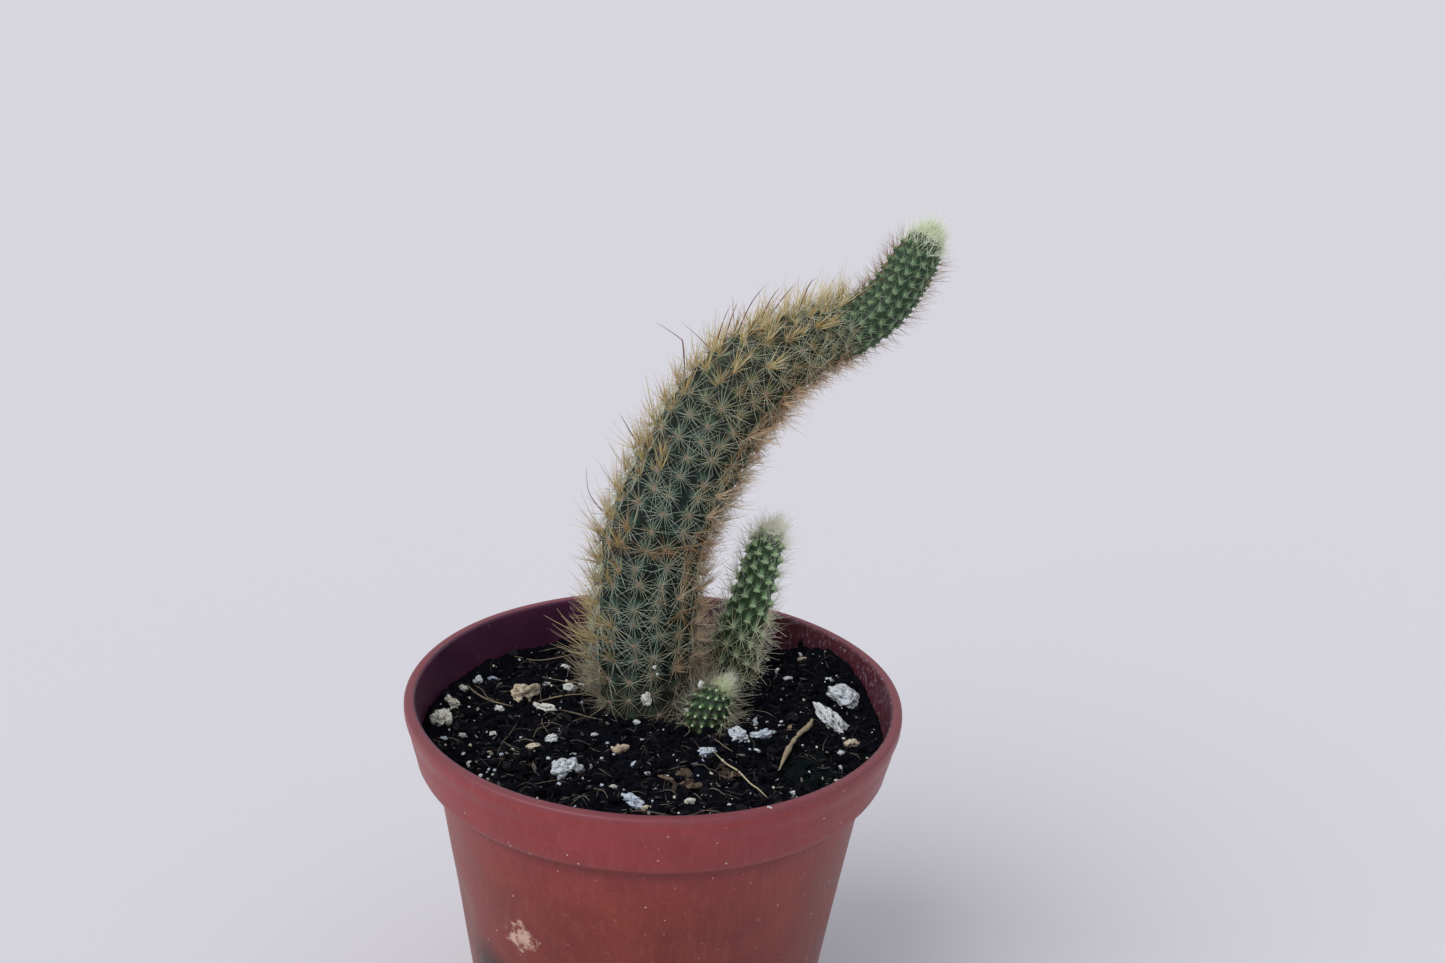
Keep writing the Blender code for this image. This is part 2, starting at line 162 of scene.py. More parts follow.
def coat(finish, shader, colour, pattern, strength, depth):
    """Gives a shader its colour, and a fine relief from a pattern."""
    relief = {"Strength": strength, "Distance": depth}
    relief = add_node(finish, "Bump", relief, {"Height": pattern})["Normal"]
    finish.node_tree.links.new(colour, shader.inputs["Base Color"])
    finish.node_tree.links.new(relief, shader.inputs["Normal"])


def to_mesh(name, bm):
    """A mesh that takes over a bmesh."""
    mesh = bpy.data.meshes.new(name)
    bm.to_mesh(mesh)
    bm.free()
    return mesh


def new_piece(name, bm, finish, node=None):
    """An object that takes over a bmesh, gets its finish, and rides with the pot."""
    piece = bpy.data.objects.new(name, to_mesh(name, bm))
    piece.data.materials.append(finish)
    bpy.context.scene.collection.objects.link(piece)
    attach(piece, "root")
    if node:
        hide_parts(node)
    return piece


def arc(centre, radius, start, end, steps=5):
    """Points of a round corner of a profile, with angles in degrees."""
    angles = [math.radians(start + (end - start) * step / steps) for step in range(steps + 1)]
    return [(centre[0] + radius * math.cos(a), centre[1] + radius * math.sin(a)) for a in angles]


def turned(profile, segments, step):
    """A bmesh turned round Z from a profile of (radius, height) points with both ends on the axis."""
    bm = bmesh.new()
    verts = [bm.verts.new((radius, 0, height)) for radius, height in profile]
    edges = [bm.edges.new(pair) for pair in zip(verts, verts[1:])]
    for edge in edges:
        cuts = int(edge.calc_length() / step)
        if cuts:
            bmesh.ops.subdivide_edges(bm, edges=[edge], cuts=cuts)
    bmesh.ops.spin(
        bm,
        geom=bm.verts[:] + bm.edges[:],
        cent=(0, 0, 0),
        axis=(0, 0, 1),
        angle=math.tau,
        steps=segments,
        use_merge=True,
    )
    bmesh.ops.remove_doubles(bm, verts=bm.verts, dist=0.002 * MM)
    bmesh.ops.recalc_face_normals(bm, faces=bm.faces)
    return bm


def pot_profile():
    """The wall's outline, from the middle of the underside up to the lip and down the inside."""
    foot = POT_HEIGHT - BAND_DEPTH
    ledge = foot + WALL
    lip_inside = BAND_TOP_RADIUS - WALL
    band_inside = BAND_FOOT_RADIUS - WALL
    floor_inside = BASE_RADIUS - WALL
    points = [(0, 0)]
    points += arc((BASE_RADIUS - WALL, WALL), WALL, -90, 0)
    points += arc((WALL_TOP_RADIUS + STEP_ROUND, foot - STEP_ROUND), STEP_ROUND, 180, 90)
    points += arc((BAND_FOOT_RADIUS - BAND_ROUND, foot + BAND_ROUND), BAND_ROUND, -90, 0)
    for step in range(FLARE_STEPS + 1):
        share = step / FLARE_STEPS
        swell = (1 - math.cos(math.pi * share)) / 2
        radius = BAND_TOP_RADIUS + (LIP_RADIUS - BAND_TOP_RADIUS) * swell
        points += [(radius, POT_HEIGHT - LIP_DEPTH - LIP_FLARE * (1 - share))]
    points += arc((LIP_RADIUS - LIP_ROUND, POT_HEIGHT - LIP_ROUND), LIP_ROUND, 0, 90, 4)
    points += arc((lip_inside + INSIDE_ROUND, POT_HEIGHT - INSIDE_ROUND), INSIDE_ROUND, 90, 180, 3)
    points += arc((band_inside - INSIDE_ROUND, ledge + INSIDE_ROUND), INSIDE_ROUND, 0, -90, 3)
    points += [(WALL_TOP_RADIUS - WALL, ledge)]
    points += arc((floor_inside - INSIDE_ROUND, WALL + INSIDE_ROUND), INSIDE_ROUND, 0, -90, 3)
    return points + [(0, WALL)]


def polypropylene():
    """Moulded polypropylene: satin, with faint flow streaks, lime chalk, dust specks, soil and painted
    shade inside, a painted shadow under the band and a painted highlight on the lip.
    """
    finish, shader = new_finish("moulded_polypropylene", roughness=0.4, ior=1.49, gloss=0.4)
    place = add_node(finish, "TexCoord")["Object"]
    east, _, height = add_node(finish, "SeparateXYZ", None, {0: place})
    cloud = {"Scale": 1 / (13 * MM), "Detail": 5, "Roughness": 0.62}
    cloud = add_node(finish, "TexNoise", cloud, {"Vector": place})["Fac"]
    mottle = {"Scale": 1 / (0.8 * MM), "Detail": 3, "Roughness": 0.7}
    mottle = add_node(finish, "TexNoise", mottle, {"Vector": place})["Fac"]

    # The wall below the band is browner, where soil has washed over it, and darker near the ground
    band = uneven(finish, cloud, mottle, 0.7, [(0.2, "#7f2c2d"), (0.5, "#8b3335"), (0.8, "#983c40")])
    wall = uneven(finish, cloud, mottle, 0.7, [(0.2, "#6c241d"), (0.5, "#803127"), (0.8, "#914131")])
    colour = cover(finish, band, wall, height, *BROWN_HEIGHTS)
    colour = cover(finish, colour, "#55160f", height, *DARK_HEIGHTS, 0.5)

    # Faint streaks of the moulding run up and down the wall
    stretched = add_node(finish, "Mapping", {"Scale": (1, 1, 0.07)}, {"Vector": place})["Vector"]
    streak = {"Scale": 1 / (1.3 * MM), "Detail": 3}
    streak = add_node(finish, "TexNoise", streak, {"Vector": stretched})["Fac"]
    colour = cover(finish, colour, "#a8645a", streak, 0.5, 0.8, 0.16)

    # Painted shadow: a dark line in the crease under the band, where the band shades the wall
    crease = add_node(finish, "Math", {"operation": "SUBTRACT", 1: BAND_SHADOW_HEIGHT}, {0: height})[0]
    crease = add_node(finish, "Math", {"operation": "ABSOLUTE"}, {0: crease})[0]
    colour = cover(finish, colour, "#3f1a16", crease, *BAND_SHADOW_WIDTHS, 0.7, cloud)

    # Specks of dust and lime, each in its own cell, and only some cells have one
    cells = add_node(finish, "TexVoronoi", {"Scale": 1 / (1.9 * MM)}, {"Vector": place})
    chosen = add_node(finish, "SeparateColor", None, {0: cells["Color"]})
    size = {"From Min": 0.4, "From Max": 1.0, "To Max": 0.15}
    size = add_node(finish, "MapRange", size, {"Value": chosen[0]})["Result"]
    speck = add_node(finish, "Math", {"operation": "LESS_THAN"}, {0: cells["Distance"], 1: size})[0]
    colour = cover(finish, colour, "#d0b0a4", speck, 0, 1, 1, chosen[1])

    # Chalk: a patch of lime that water left on the wall, broken into blotches, and a darker patch below it
    blotch = {"Scale": 1 / (2.1 * MM), "Detail": 6, "Roughness": 0.7}
    blotch = add_node(finish, "TexNoise", blotch, {"Vector": place})["Fac"]
    away = add_node(finish, "VectorMath", {"operation": "DISTANCE", 1: CHALK_PLACE}, {0: place})["Value"]
    close = {"From Max": CHALK_WIDTH, "To Min": 0.22, "To Max": -0.26}
    close = add_node(finish, "MapRange", close, {"Value": away})["Result"]
    chalk = add_node(finish, "Math", {"operation": "ADD"}, {0: blotch, 1: close})[0]
    dense = {"From Min": 0.5, "From Max": 0.62, "To Max": 0.85}
    chalk = add_node(finish, "MapRange", dense, {"Value": chalk})["Result"]
    colour = cover(finish, colour, "#cfae9a", chalk, 0, 1)
    away = add_node(finish, "VectorMath", {"operation": "DISTANCE", 1: DARK_PATCH_PLACE}, {0: place})["Value"]
    colour = cover(finish, colour, "#33100c", away, *DARK_PATCH_WIDTHS, 2.2, blotch)

    # Painted highlight: the top of the lip is greyer and lilac, as it catches the light from above
    colour = cover(finish, colour, "#74424c", height, *LIP_HIGHLIGHT_HEIGHTS, 0.6)

    # The inside, whose normal points to the axis, is darker: partly a stain of wet soil, partly painted
    # shade where the pot's wall and the plant shade it. It is scuffed too
    normal = add_node(finish, "NewGeometry")["Normal"]
    level = add_node(finish, "VectorMath", {"operation": "MULTIPLY", 1: (1, 1, 0)}, {0: place})["Vector"]
    inside = add_node(finish, "VectorMath", {"operation": "DOT_PRODUCT"}, {0: normal, 1: level})["Value"]
    soil_stain_and_shade = [(0.3, "#45203a"), (0.7, "#5c2e49")]
    soil_stain_and_shade = add_node(finish, "ValToRGB", None, {"Fac": cloud}, soil_stain_and_shade)["Color"]
    soil_stain_and_shade = cover(finish, soil_stain_and_shade, "#562733", east, 5 * MM, 30 * MM)
    scratched = add_node(finish, "Mapping", {"Scale": (1, 1, 0.7)}, {"Vector": place})["Vector"]
    scratch = {"Scale": 1 / (0.9 * MM), "Detail": 4, "Roughness": 0.75}
    scratch = add_node(finish, "TexNoise", scratch, {"Vector": scratched})["Fac"]
    worn = {"From Min": 5 * MM, "From Max": 35 * MM, "To Min": 0.64, "To Max": 0.56}
    worn = add_node(finish, "MapRange", worn, {"Value": east})["Result"]
    scuffed = add_node(finish, "Math", {"operation": "SUBTRACT"}, {0: scratch, 1: worn})[0]
    soil_stain_and_shade = cover(finish, soil_stain_and_shade, "#a3959c", scuffed, 0, 0.05, 0.6)
    colour = cover(finish, colour, soil_stain_and_shade, inside, -5 * MM, -20 * MM)

    # Chalk is duller than the plastic, and the moulding left a fine grain
    rough = {"From Min": 0.3, "From Max": 0.7, "To Min": 0.34, "To Max": 0.48}
    rough = add_node(finish, "MapRange", rough, {"Value": cloud})["Result"]
    rough = add_node(finish, "Math", {"operation": "MULTIPLY_ADD", 1: 0.4}, {0: chalk, 2: rough})[0]
    finish.node_tree.links.new(rough, shader.inputs["Roughness"])
    grain = add_node(finish, "TexNoise", {"Scale": 1 / (0.7 * MM), "Detail": 3}, {"Vector": place})["Fac"]
    grain = add_node(finish, "Math", {"operation": "MULTIPLY_ADD", 1: 0.3}, {0: streak, 2: grain})[0]
    coat(finish, shader, colour, grain, 0.2, 0.08 * MM)
    return finish


pot_shell = turned(pot_profile(), POT_SEGMENTS, POT_STEP)
for vert in pot_shell.verts:
    out = Vector((vert.co.x, vert.co.y, 0)).normalized()
    dent = math.exp(-(((vert.co - DENT_PLACE).length / DENT_WIDTH) ** 2))
    warp = noise.noise(Vector((out.x, out.y, 0)) * 2 + Vector((0, 0, vert.co.z / WARP_SIZE)))
    vert.co += out * (WARP_DEPTH * warp - DENT_DEPTH * dent)
pot = new_piece("nursery_pot", pot_shell, polypropylene(), "pot")

holes = bmesh.new()
for hole in range(DRAIN_HOLES):
    angle = math.tau * (hole + 0.5) / DRAIN_HOLES
    centre = Matrix.Translation((DRAIN_CIRCLE * math.cos(angle), DRAIN_CIRCLE * math.sin(angle), 0))
    bmesh.ops.create_cone(
        holes,
        cap_ends=True,
        segments=DRAIN_SIDES,
        radius1=DRAIN_RADIUS,
        radius2=DRAIN_RADIUS,
        depth=4 * WALL,
        matrix=centre,
    )
hole_cutter = bpy.data.objects.new("drain_holes", to_mesh("drain_holes", holes))
bpy.context.scene.collection.objects.link(hole_cutter)
cut = pot.modifiers.new("drain_holes", "BOOLEAN")
cut.operation = "DIFFERENCE"
cut.solver = "EXACT"
cut.object = hole_cutter
cut_mesh = bpy.data.meshes.new_from_object(pot.evaluated_get(bpy.context.evaluated_depsgraph_get()))
pot.modifiers.clear()
pot.data = cut_mesh
pot.data.shade_smooth()
pot.data.set_sharp_from_angle(angle=POT_SHARP)
bpy.data.objects.remove(hole_cutter, do_unlink=True)


# Stems, whose axes the soil needs: points (x, y, z, radius) in millimetres from the buried end to the tip.
# They are grown, not made: the main stem stands up, bends over to the right and ends in fresh growth,
# and two offsets grow from its foot.
MAIN_AXIS = (
    (-2.2, 20, 58, 10.4),
    (-2.2, 20, 72, 10.4),
    (-2.3, 20, 79, 11.4),
    (-2.4, 20, 98, 11.3),
    (-1.2, 20, 115, 11.3),
    (3.9, 20, 128, 11.0),
    (9.8, 20, 141.5, 10.6),
    (16.0, 20, 150.5, 10.0),
    (22.4, 20, 156.0, 8.7),
    (31.0, 20, 161.6, 6.8),
    (39.0, 20, 164.9, 5.9),
    (45.2, 20, 170.4, 5.4),
    (50.0, 20, 178.8, 5.0),
    (53.3, 20, 185.6, 4.6),
)
TALL_AXIS = (
    (15.0, 30.0, 67, 5.0),
    (15.9, 29.6, 74, 5.0),
    (16.8, 29.2, 80, 5.6),
    (18.1, 28.4, 88, 5.4),
    (20.8, 27.8, 98, 4.7),
    (22.8, 27.4, 108, 4.1),
    (24.6, 27.0, 116, 3.6),
)
SMALL_AXIS = (
    (9.2, 7.8, 68, 3.6),
    (10.2, 8.1, 73, 3.6),
    (11.0, 8.3, 76.6, 4.6),
    (12.2, 8.6, 80.4, 5.0),
    (13.7, 8.8, 83.3, 4.4),
    (15.3, 9.0, 86.0, 3.6),
)
AXIS_STEPS = 40


def on_curve(points, index, share):
    """Point on a smooth curve through points, at a share of the way from one of them to the next."""
    start, end = points[index], points[index + 1]
    before = points[index - 1] if index else 2 * start - end
    after = points[index + 2] if index + 2 < len(points) else 2 * end - start
    square = 2 * before - 5 * start + 4 * end - after
    cube = 3 * start - before - 3 * end + after
    return start + 0.5 * ((end - before) * share + square * share**2 + cube * share**3)


def smooth_axis(points):
    """Many (x, y, z, radius) points in metres on a smooth curve through the given ones."""
    knots = [Vector(point) * MM for point in points]
    shares = [step / AXIS_STEPS for step in range(AXIS_STEPS)]
    curve = [on_curve(knots, index, share) for index in range(len(knots) - 1) for share in shares]
    return curve + knots[-1:]


main_axis = smooth_axis(MAIN_AXIS)
tall_axis = smooth_axis(TALL_AXIS)
small_axis = smooth_axis(SMALL_AXIS)


# Soil: dark peat that fills the pot, with its surface below the rim, higher against the wall and heaped
# at the back on the right. Its top is loose: crumbs of peat, curled fibres and a little green alga lie
# on it.
SOIL_LEVEL = POT_HEIGHT - 11.4 * MM
SOIL_SEGMENTS = 280
SOIL_STEP = 0.75 * MM
SOIL_EDGE = 0.2 * MM
BANK_RISE = 2.4 * MM
BANK_WIDTH = 9 * MM
HEAP_PLACE = Vector((42, 28, 0)) * MM
HEAP_RISE = 6.5 * MM
HEAP_SPREAD = 17 * MM
LUMP_RISE = 1.3 * MM
LUMP_SIZE = 5.5 * MM
CALM_WIDTH = 7 * MM
GRIT_RISE = 0.9 * MM
GRIT_SIZE = 1.7 * MM
PEAT_TONES = [(0.0, "#04050b"), (0.3, "#0a0c15"), (0.55, "#1c1a20"), (0.8, "#423c3a"), (1.0, "#77706c")]
CRUMBS = 3200
CRUMB_WIDTHS = (0.5 * MM, 2.7 * MM)
CLOD_WIDTH = 1.4 * MM
CHIPS = 900
CHIP_LENGTHS = (0.8 * MM, 2.6 * MM)
FIBRES = 1150
FIBRE_LENGTHS = (2 * MM, 8 * MM)
FIBRE_WIDTHS = (0.1 * MM, 0.24 * MM)
FIBRE_RISE = 0.35 * MM
FIBRE_CURL = 0.28
FIBRE_TONES = [(0.0, "#131218"), (0.4, "#29272a"), (0.75, "#5d544c"), (1.0, "#a39a8a")]
ALGA_PLACE = (33 * MM, -12 * MM, 77 * MM)
ALGA_WIDTHS = (10 * MM, 2 * MM)


def from_stems(place):
    """Distance of a place from the nearest stem's plain surface, measured at the soil's level."""
    level = Vector((place.x, place.y, SOIL_LEVEL))
    near = (main_axis[: 4 * AXIS_STEPS], tall_axis[: 4 * AXIS_STEPS], small_axis[: 5 * AXIS_STEPS])
    return min((level - point.xyz).length - point.w for axis in near for point in axis[::8])


def soil_height(x, y):
    """Height of the soil's surface without its grit."""
    place = Vector((x, y, 0))
    heap = (place - HEAP_PLACE).length / HEAP_SPREAD
    bank = max(0, 1 - (BAND_FOOT_RADIUS - place.length) / BANK_WIDTH)
    level = SOIL_LEVEL + HEAP_RISE * math.exp(-(heap**2)) + BANK_RISE * bank**2
    calm = min(1, max(0, from_stems(place) / CALM_WIDTH))
    return level + LUMP_RISE * calm * noise.noise(place / LUMP_SIZE)


def on_soil(x, y, rise):
    """A place that is raised above the soil's surface, or sunk into it."""
    return Vector((x, y, soil_height(x, y) + rise))


def soil_profile():
    """The plug's outline: the inside of the pot, from its floor up to the soil's level."""
    foot = 1.3 * WALL
    ledge = POT_HEIGHT - BAND_DEPTH + WALL
    wall_top = WALL_TOP_RADIUS - WALL - SOIL_EDGE
    band = BAND_FOOT_RADIUS - WALL + SOIL_EDGE
    floor = BASE_RADIUS - WALL - SOIL_EDGE
    top = [(band, ledge + SOIL_EDGE), (band, SOIL_LEVEL), (0, SOIL_LEVEL)]
    return [(0, foot), (floor, foot), (wall_top, ledge)] + top


def empty_heap(*layers):
    """An empty bmesh with float layers on its vertices."""
    bm = bmesh.new()
    for layer in layers:
        bm.verts.layers.float.new(layer)
    return bm


def add_copy(bm, mesh):
    """Adds a copy of a mesh to a bmesh, and gives the copy's vertices."""
    first = len(bm.verts)
    bm.from_mesh(mesh)
    bm.verts.ensure_lookup_table()
    return bm.verts[first:]


def rough_ball(subdivisions, knobs, depth, rng, holes=0):
    """A mesh one unit wide of a lobed lump with holes in it, and how deep they are in a "pit" layer."""
    bm = empty_heap("pit", "tone")
    pit = bm.verts.layers.float["pit"]
    bmesh.ops.create_icosphere(bm, subdivisions=subdivisions, radius=0.5)
    shift = Vector([rng.uniform(0, 90) for _ in range(3)])
    for vert in bm.verts:
        swell = noise.noise(vert.co * 1.6 + shift) + 0.6 * noise.noise(vert.co * 4.5 + shift)
        crease = noise.voronoi(vert.co * knobs + shift)[0][0]
        hole = max(0, 1 - noise.voronoi(vert.co * 2.6 * knobs + shift)[0][0] / 0.42)
        vert[pit] = min(1, 0.9 * crease + 1.6 * holes * hole)
        vert.co *= 1 + depth * (swell - crease + 0.4) - 0.2 * holes * hole
    return to_mesh("lump", bm)


def set_lump(bm, mesh, place, size, turn, tone):
    """Sets a copy of a lump, with its three sizes and its turn, and its tone in a layer."""
    copy = add_copy(bm, mesh)
    shade = bm.verts.layers.float["tone"]
    spun = Matrix.Translation(place) @ turn.to_4x4() @ Matrix.Diagonal((*size, 1))
    for vert in copy:
        vert.co = spun @ vert.co
        vert[shade] = tone


def random_turn(rng, tilt=0.5):
    """A turn to any side with a small tilt."""
    tipped = Matrix.Rotation(rng.uniform(-tilt, tilt), 3, "X")
    tipped = Matrix.Rotation(rng.uniform(0, math.tau), 3, "Z") @ tipped
    return tipped @ Matrix.Rotation(rng.uniform(0, 6), 3, "Z")


def straight_rod(sides, parts):
    """A mesh of a rod one unit long and wide along Z, split into parts so that it can be bent."""
    bm = empty_heap("tone")
    bmesh.ops.create_cone(
        bm,
        cap_ends=True,
        segments=sides,
        radius1=0.5,
        radius2=0.5,
        depth=1,
        matrix=Matrix.Translation((0, 0, 0.5)),
    )
    upright = [edge for edge in bm.edges if abs(edge.verts[0].co.z - edge.verts[1].co.z) > 0.5]
    bmesh.ops.subdivide_edges(bm, edges=upright, cuts=parts - 1)
    for face in bm.faces:
        face.smooth = abs(face.normal.z) < 0.5
    return to_mesh("rod", bm)


def on_route(route, share):
    """Point on the smooth curve through a route's points, at a share of its length from 0 to 1."""
    place = share * (len(route) - 1)
    index = min(int(place), len(route) - 2)
    return on_curve(route, index, place - index)


def lay_rod(bm, rod, route, width, tone, taper=0.6, knots=0):
    """Bends a copy of a rod along a route, thinner towards its end, with knots that swell it."""
    copy = add_copy(bm, rod)
    shade = bm.verts.layers.float["tone"]
    for vert in copy:
        share = min(1, max(0, vert.co.z))
        centre = on_route(route, share)
        ahead = on_route(route, min(1, share + 0.02)) - on_route(route, max(0, share - 0.02))
        ahead.normalize()
        side = ahead.orthogonal() if abs(ahead.z) > 0.95 else ahead.cross(Vector((0, 0, 1)))
        side.normalize()
        swell = 1 + knots * noise.noise(centre / (1.3 * MM))
        radius = width * (1 - taper * share) * swell * min(1, 0.35 + 2.5 * share, 0.35 + 4 * (1 - share))
        vert.co = centre + (side * vert.co.x + side.cross(ahead) * vert.co.y) * radius
        vert[shade] = tone


def inside_pot(rng, edge):
    """A random place on the soil, clear of the wall by an edge and outside the stems."""
    while True:
        x, y = rng.uniform(-50, 50) * MM, rng.uniform(-50, 50) * MM
        if math.hypot(x, y) < BAND_FOOT_RADIUS - WALL - edge and from_stems(Vector((x, y, 0))) > 0:
            return x, y


def peat(name, stops, grain):
    """Moist peat: matt and nearly black, with no shine, and browner where dry bits and fibres lie."""
    finish, shader = new_finish(name, roughness=0.95, ior=1.45, gloss=0.12)
    place = add_node(finish, "TexCoord")["Object"]
    tone = add_node(finish, "Attribute", {"attribute_name": "tone"})["Fac"]
    speckle = {"Scale": 1 / grain, "Detail": 5, "Roughness": 0.7}
    speckle = add_node(finish, "TexNoise", speckle, {"Vector": place})["Fac"]
    colour = uneven(finish, tone, speckle, 0.7, stops)
    away = add_node(finish, "VectorMath", {"operation": "DISTANCE", 1: ALGA_PLACE}, {0: place})["Value"]
    colour = cover(finish, colour, "#10241d", away, *ALGA_WIDTHS, 0.55, speckle)
    coat(finish, shader, colour, speckle, 0.6, 0.4 * MM)
    return finish


rng = random.Random(11)
soil_bed = turned(soil_profile(), SOIL_SEGMENTS, SOIL_STEP)
soil_tone = soil_bed.verts.layers.float.new("tone")
for vert in soil_bed.verts:
    if vert.co.z > SOIL_LEVEL - 0.01 * MM:
        grit = noise.fractal(vert.co / GRIT_SIZE, 0.6, 2.1, 3)
        vert.co.z = soil_height(vert.co.x, vert.co.y) + GRIT_RISE * grit
        vert[soil_tone] = 0.12 + 0.1 * grit
for face in soil_bed.faces:
    face.smooth = True
new_piece("peat_bed", soil_bed, peat("moist_peat", PEAT_TONES, 0.9 * MM), "soil")

peat_crumbs = [rough_ball(1, 1.5, 0.5, rng) for _ in range(12)]
peat_clods = [rough_ball(2, 2.5, 0.45, rng) for _ in range(8)]
crumbs = empty_heap("pit", "tone")
for index in range(CRUMBS):
    x, y = inside_pot(rng, 1.0 * MM)
    width = CRUMB_WIDTHS[0] + (CRUMB_WIDTHS[1] - CRUMB_WIDTHS[0]) * rng.random() ** 2.2
    size = [width * rng.uniform(0.7, 1.4), width * rng.uniform(0.5, 0.9), width * rng.uniform(0.4, 0.8)]
    place = on_soil(x, y, width * rng.uniform(-0.1, 0.45))
    tone = 0.05 + rng.random() ** 3 * 0.6
    shapes = peat_clods if width > CLOD_WIDTH else peat_crumbs
    set_lump(crumbs, rng.choice(shapes), place, size, random_turn(rng, tilt=1.2), tone)
for index in range(CHIPS):
    x, y = inside_pot(rng, 1.0 * MM)
    length = rng.uniform(*CHIP_LENGTHS)
    place = on_soil(x, y, rng.uniform(0.2, 0.9) * MM)
    size = [length, length * rng.uniform(0.14, 0.35), length * rng.uniform(0.1, 0.2)]
    chip = rng.choice(peat_crumbs)
    turn = random_turn(rng, tilt=0.6)
    set_lump(crumbs, chip, place, size, turn, rng.uniform(0.3, 1.0))
new_piece("peat_crumbs", crumbs, peat("dry_peat_crumb", PEAT_TONES, 0.4 * MM))

fibre_rod = straight_rod(3, 5)
fibres = empty_heap("tone")
for index in range(FIBRES):
    x, y = inside_pot(rng, 2.0 * MM)
    heading = rng.uniform(0, math.tau)
    curl = rng.gauss(0, FIBRE_CURL)
    length = rng.uniform(*FIBRE_LENGTHS)
    arch = rng.uniform(0.1, 1.1) * MM
    route = []
    for step in range(4):
        route.append(on_soil(x, y, FIBRE_RISE + arch * math.sin(math.pi * step / 3)))
        x += length / 3 * math.cos(heading)
        y += length / 3 * math.sin(heading)
        heading += curl
        reach = math.hypot(x, y) / (BAND_FOOT_RADIUS - 2 * MM)
        x, y = x / max(1, reach), y / max(1, reach)
    lay_rod(fibres, fibre_rod, route, rng.uniform(*FIBRE_WIDTHS), rng.random() ** 2)
new_piece("peat_fibres", fibres, peat("peat_fibre", FIBRE_TONES, 0.8 * MM))


# Perlite: white volcanic glass, popped into light crumbs by heat, mixed into the soil for drainage.
# The crumbs are dull, full of small holes, and stained tan or blue-grey by the wet peat.

# Each is x, y, its length and breadth in millimetres, its turn and its tilt in degrees, and its tone
BIG_PERLITE = (
    (-28.6, 17.6, 5.4, 4.2, 20, 0, 0.8),
    (-24.0, 11.8, 4.6, 2.5, -15, 8, 0.55),
    (-45.2, 3.0, 4.6, 3.8, 60, 0, 0.6),
    (-44.4, 11.8, 3.6, 2.5, -20, 0, 0.65),
    (-17.2, -16.4, 6.4, 3.6, 50, 10, 0.35),
    (-3.8, -26.6, 4.4, 2.5, -25, 0, 0.2),
    (41.4, 14.0, 7.0, 5.6, -30, 12, 0.35),
    (39.0, 7.2, 8.2, 4.4, -42, 30, 0.4),
    (18.2, 1.2, 3.7, 3.0, -10, 0, 0.3),
    (23.6, 3.6, 4.2, 2.2, 25, 0, 0.25),
    (11.6, -5.2, 3.5, 2.3, 10, 0, 0.25),
)
# The smaller ones lie flat, so they have no tilt
PERLITE = (
    (-19.8, -12.0, 2.2, 1.4, 20, 0.4),
    (-13.4, -13.8, 2.4, 1.3, 30, 0.45),
    (42.4, -0.4, 2.9, 2.6, 20, 0.8),
    (22.3, 8.4, 2.2, 1.3, 80, 0.3),
    (10.9, -8.6, 1.9, 1.6, 0, 0.1),
    (-6.8, -5.6, 2.8, 2.5, 0, 0.85),
    (-21.5, -1.6, 2.4, 2.2, 0, 0.45),
    (-25.2, -5.2, 2.8, 1.6, 10, 0.8),
    (-19.0, 21.8, 2.6, 2.0, 0, 0.55),
    (-36.7, 25.6, 2.0, 1.7, 0, 0.1),
    (-39.6, 23.8, 2.1, 1.8, 40, 0.4),
    (-42.6, 19.4, 2.0, 1.7, 0, 0.6),
    (-34.8, 23.6, 1.8, 1.3, 60, 0.5),
    (-20.7, 32.2, 2.3, 1.8, 0, 0.45),
    (-16.6, 23.4, 1.7, 1.3, 0, 0.45),
    (-41.8, 16.2, 2.7, 1.0, -10, 0.5),
    (-33.9, 11.8, 1.8, 1.3, 0, 0.5),
    (-24.2, 23.2, 1.6, 0.8, 20, 0.5),
    (-40.4, -1.0, 2.1, 1.5, -30, 0.5),
    (-38.3, -1.2, 1.5, 1.0, 0, 0.4),
    (-34.1, 0.1, 1.5, 1.1, 0, 0.5),
    (-44.2, -2.2, 1.3, 1.1, 0, 0.3),
    (-37.3, -13.2, 2.2, 1.3, 30, 0.5),
    (-34.1, -8.4, 1.5, 1.0, 0, 0.8),
    (-18.7, -11.0, 1.9, 1.3, 0, 0.5),
    (-16.6, -7.7, 1.1, 0.9, 0, 0.4),
    (-3.3, -12.7, 1.9, 1.7, 0, 0.1),
    (-0.9, -15.2, 1.1, 0.9, 0, 0.3),
    (-7.7, -19.4, 1.8, 1.2, 30, 0.6),
    (-6.1, -20.8, 1.5, 0.8, -30, 0.6),
    (-0.7, -28.4, 2.0, 1.8, 0, 0.75),
    (7.8, -26.6, 2.1, 1.3, 0, 0.6),
    (-12.5, 1.4, 1.3, 0.9, 0, 0.5),
    (-3.6, 7.4, 1.3, 1.1, 0, 0.4),
    (22.1, -4.1, 1.5, 1.2, 0, 0.35),
    (27.9, 28.8, 2.4, 1.5, 60, 0.55),
    (24.9, 28.0, 1.6, 1.2, 0, 0.4),
    (26.6, 26.4, 1.2, 0.9, 0, 0.1),
    (29.8, 23.0, 2.3, 1.1, -30, 0.45),
    (33.2, 31.4, 2.0, 1.4, 0, 0.8),
    (38.6, 19.8, 1.7, 1.2, 0, 0.4),
    (40.2, -3.2, 1.6, 1.2, 0, 0.35),
    (28.8, -21.0, 1.6, 1.3, 0, 0.4),
    (29.5, 6.3, 1.9, 0.9, 80, 0.95),
    (15.7, -18.9, 1.3, 0.8, 70, 0.5),
)
DUST_CRUMBS = 420
DUST_WIDTHS = (0.25 * MM, 1.1 * MM)
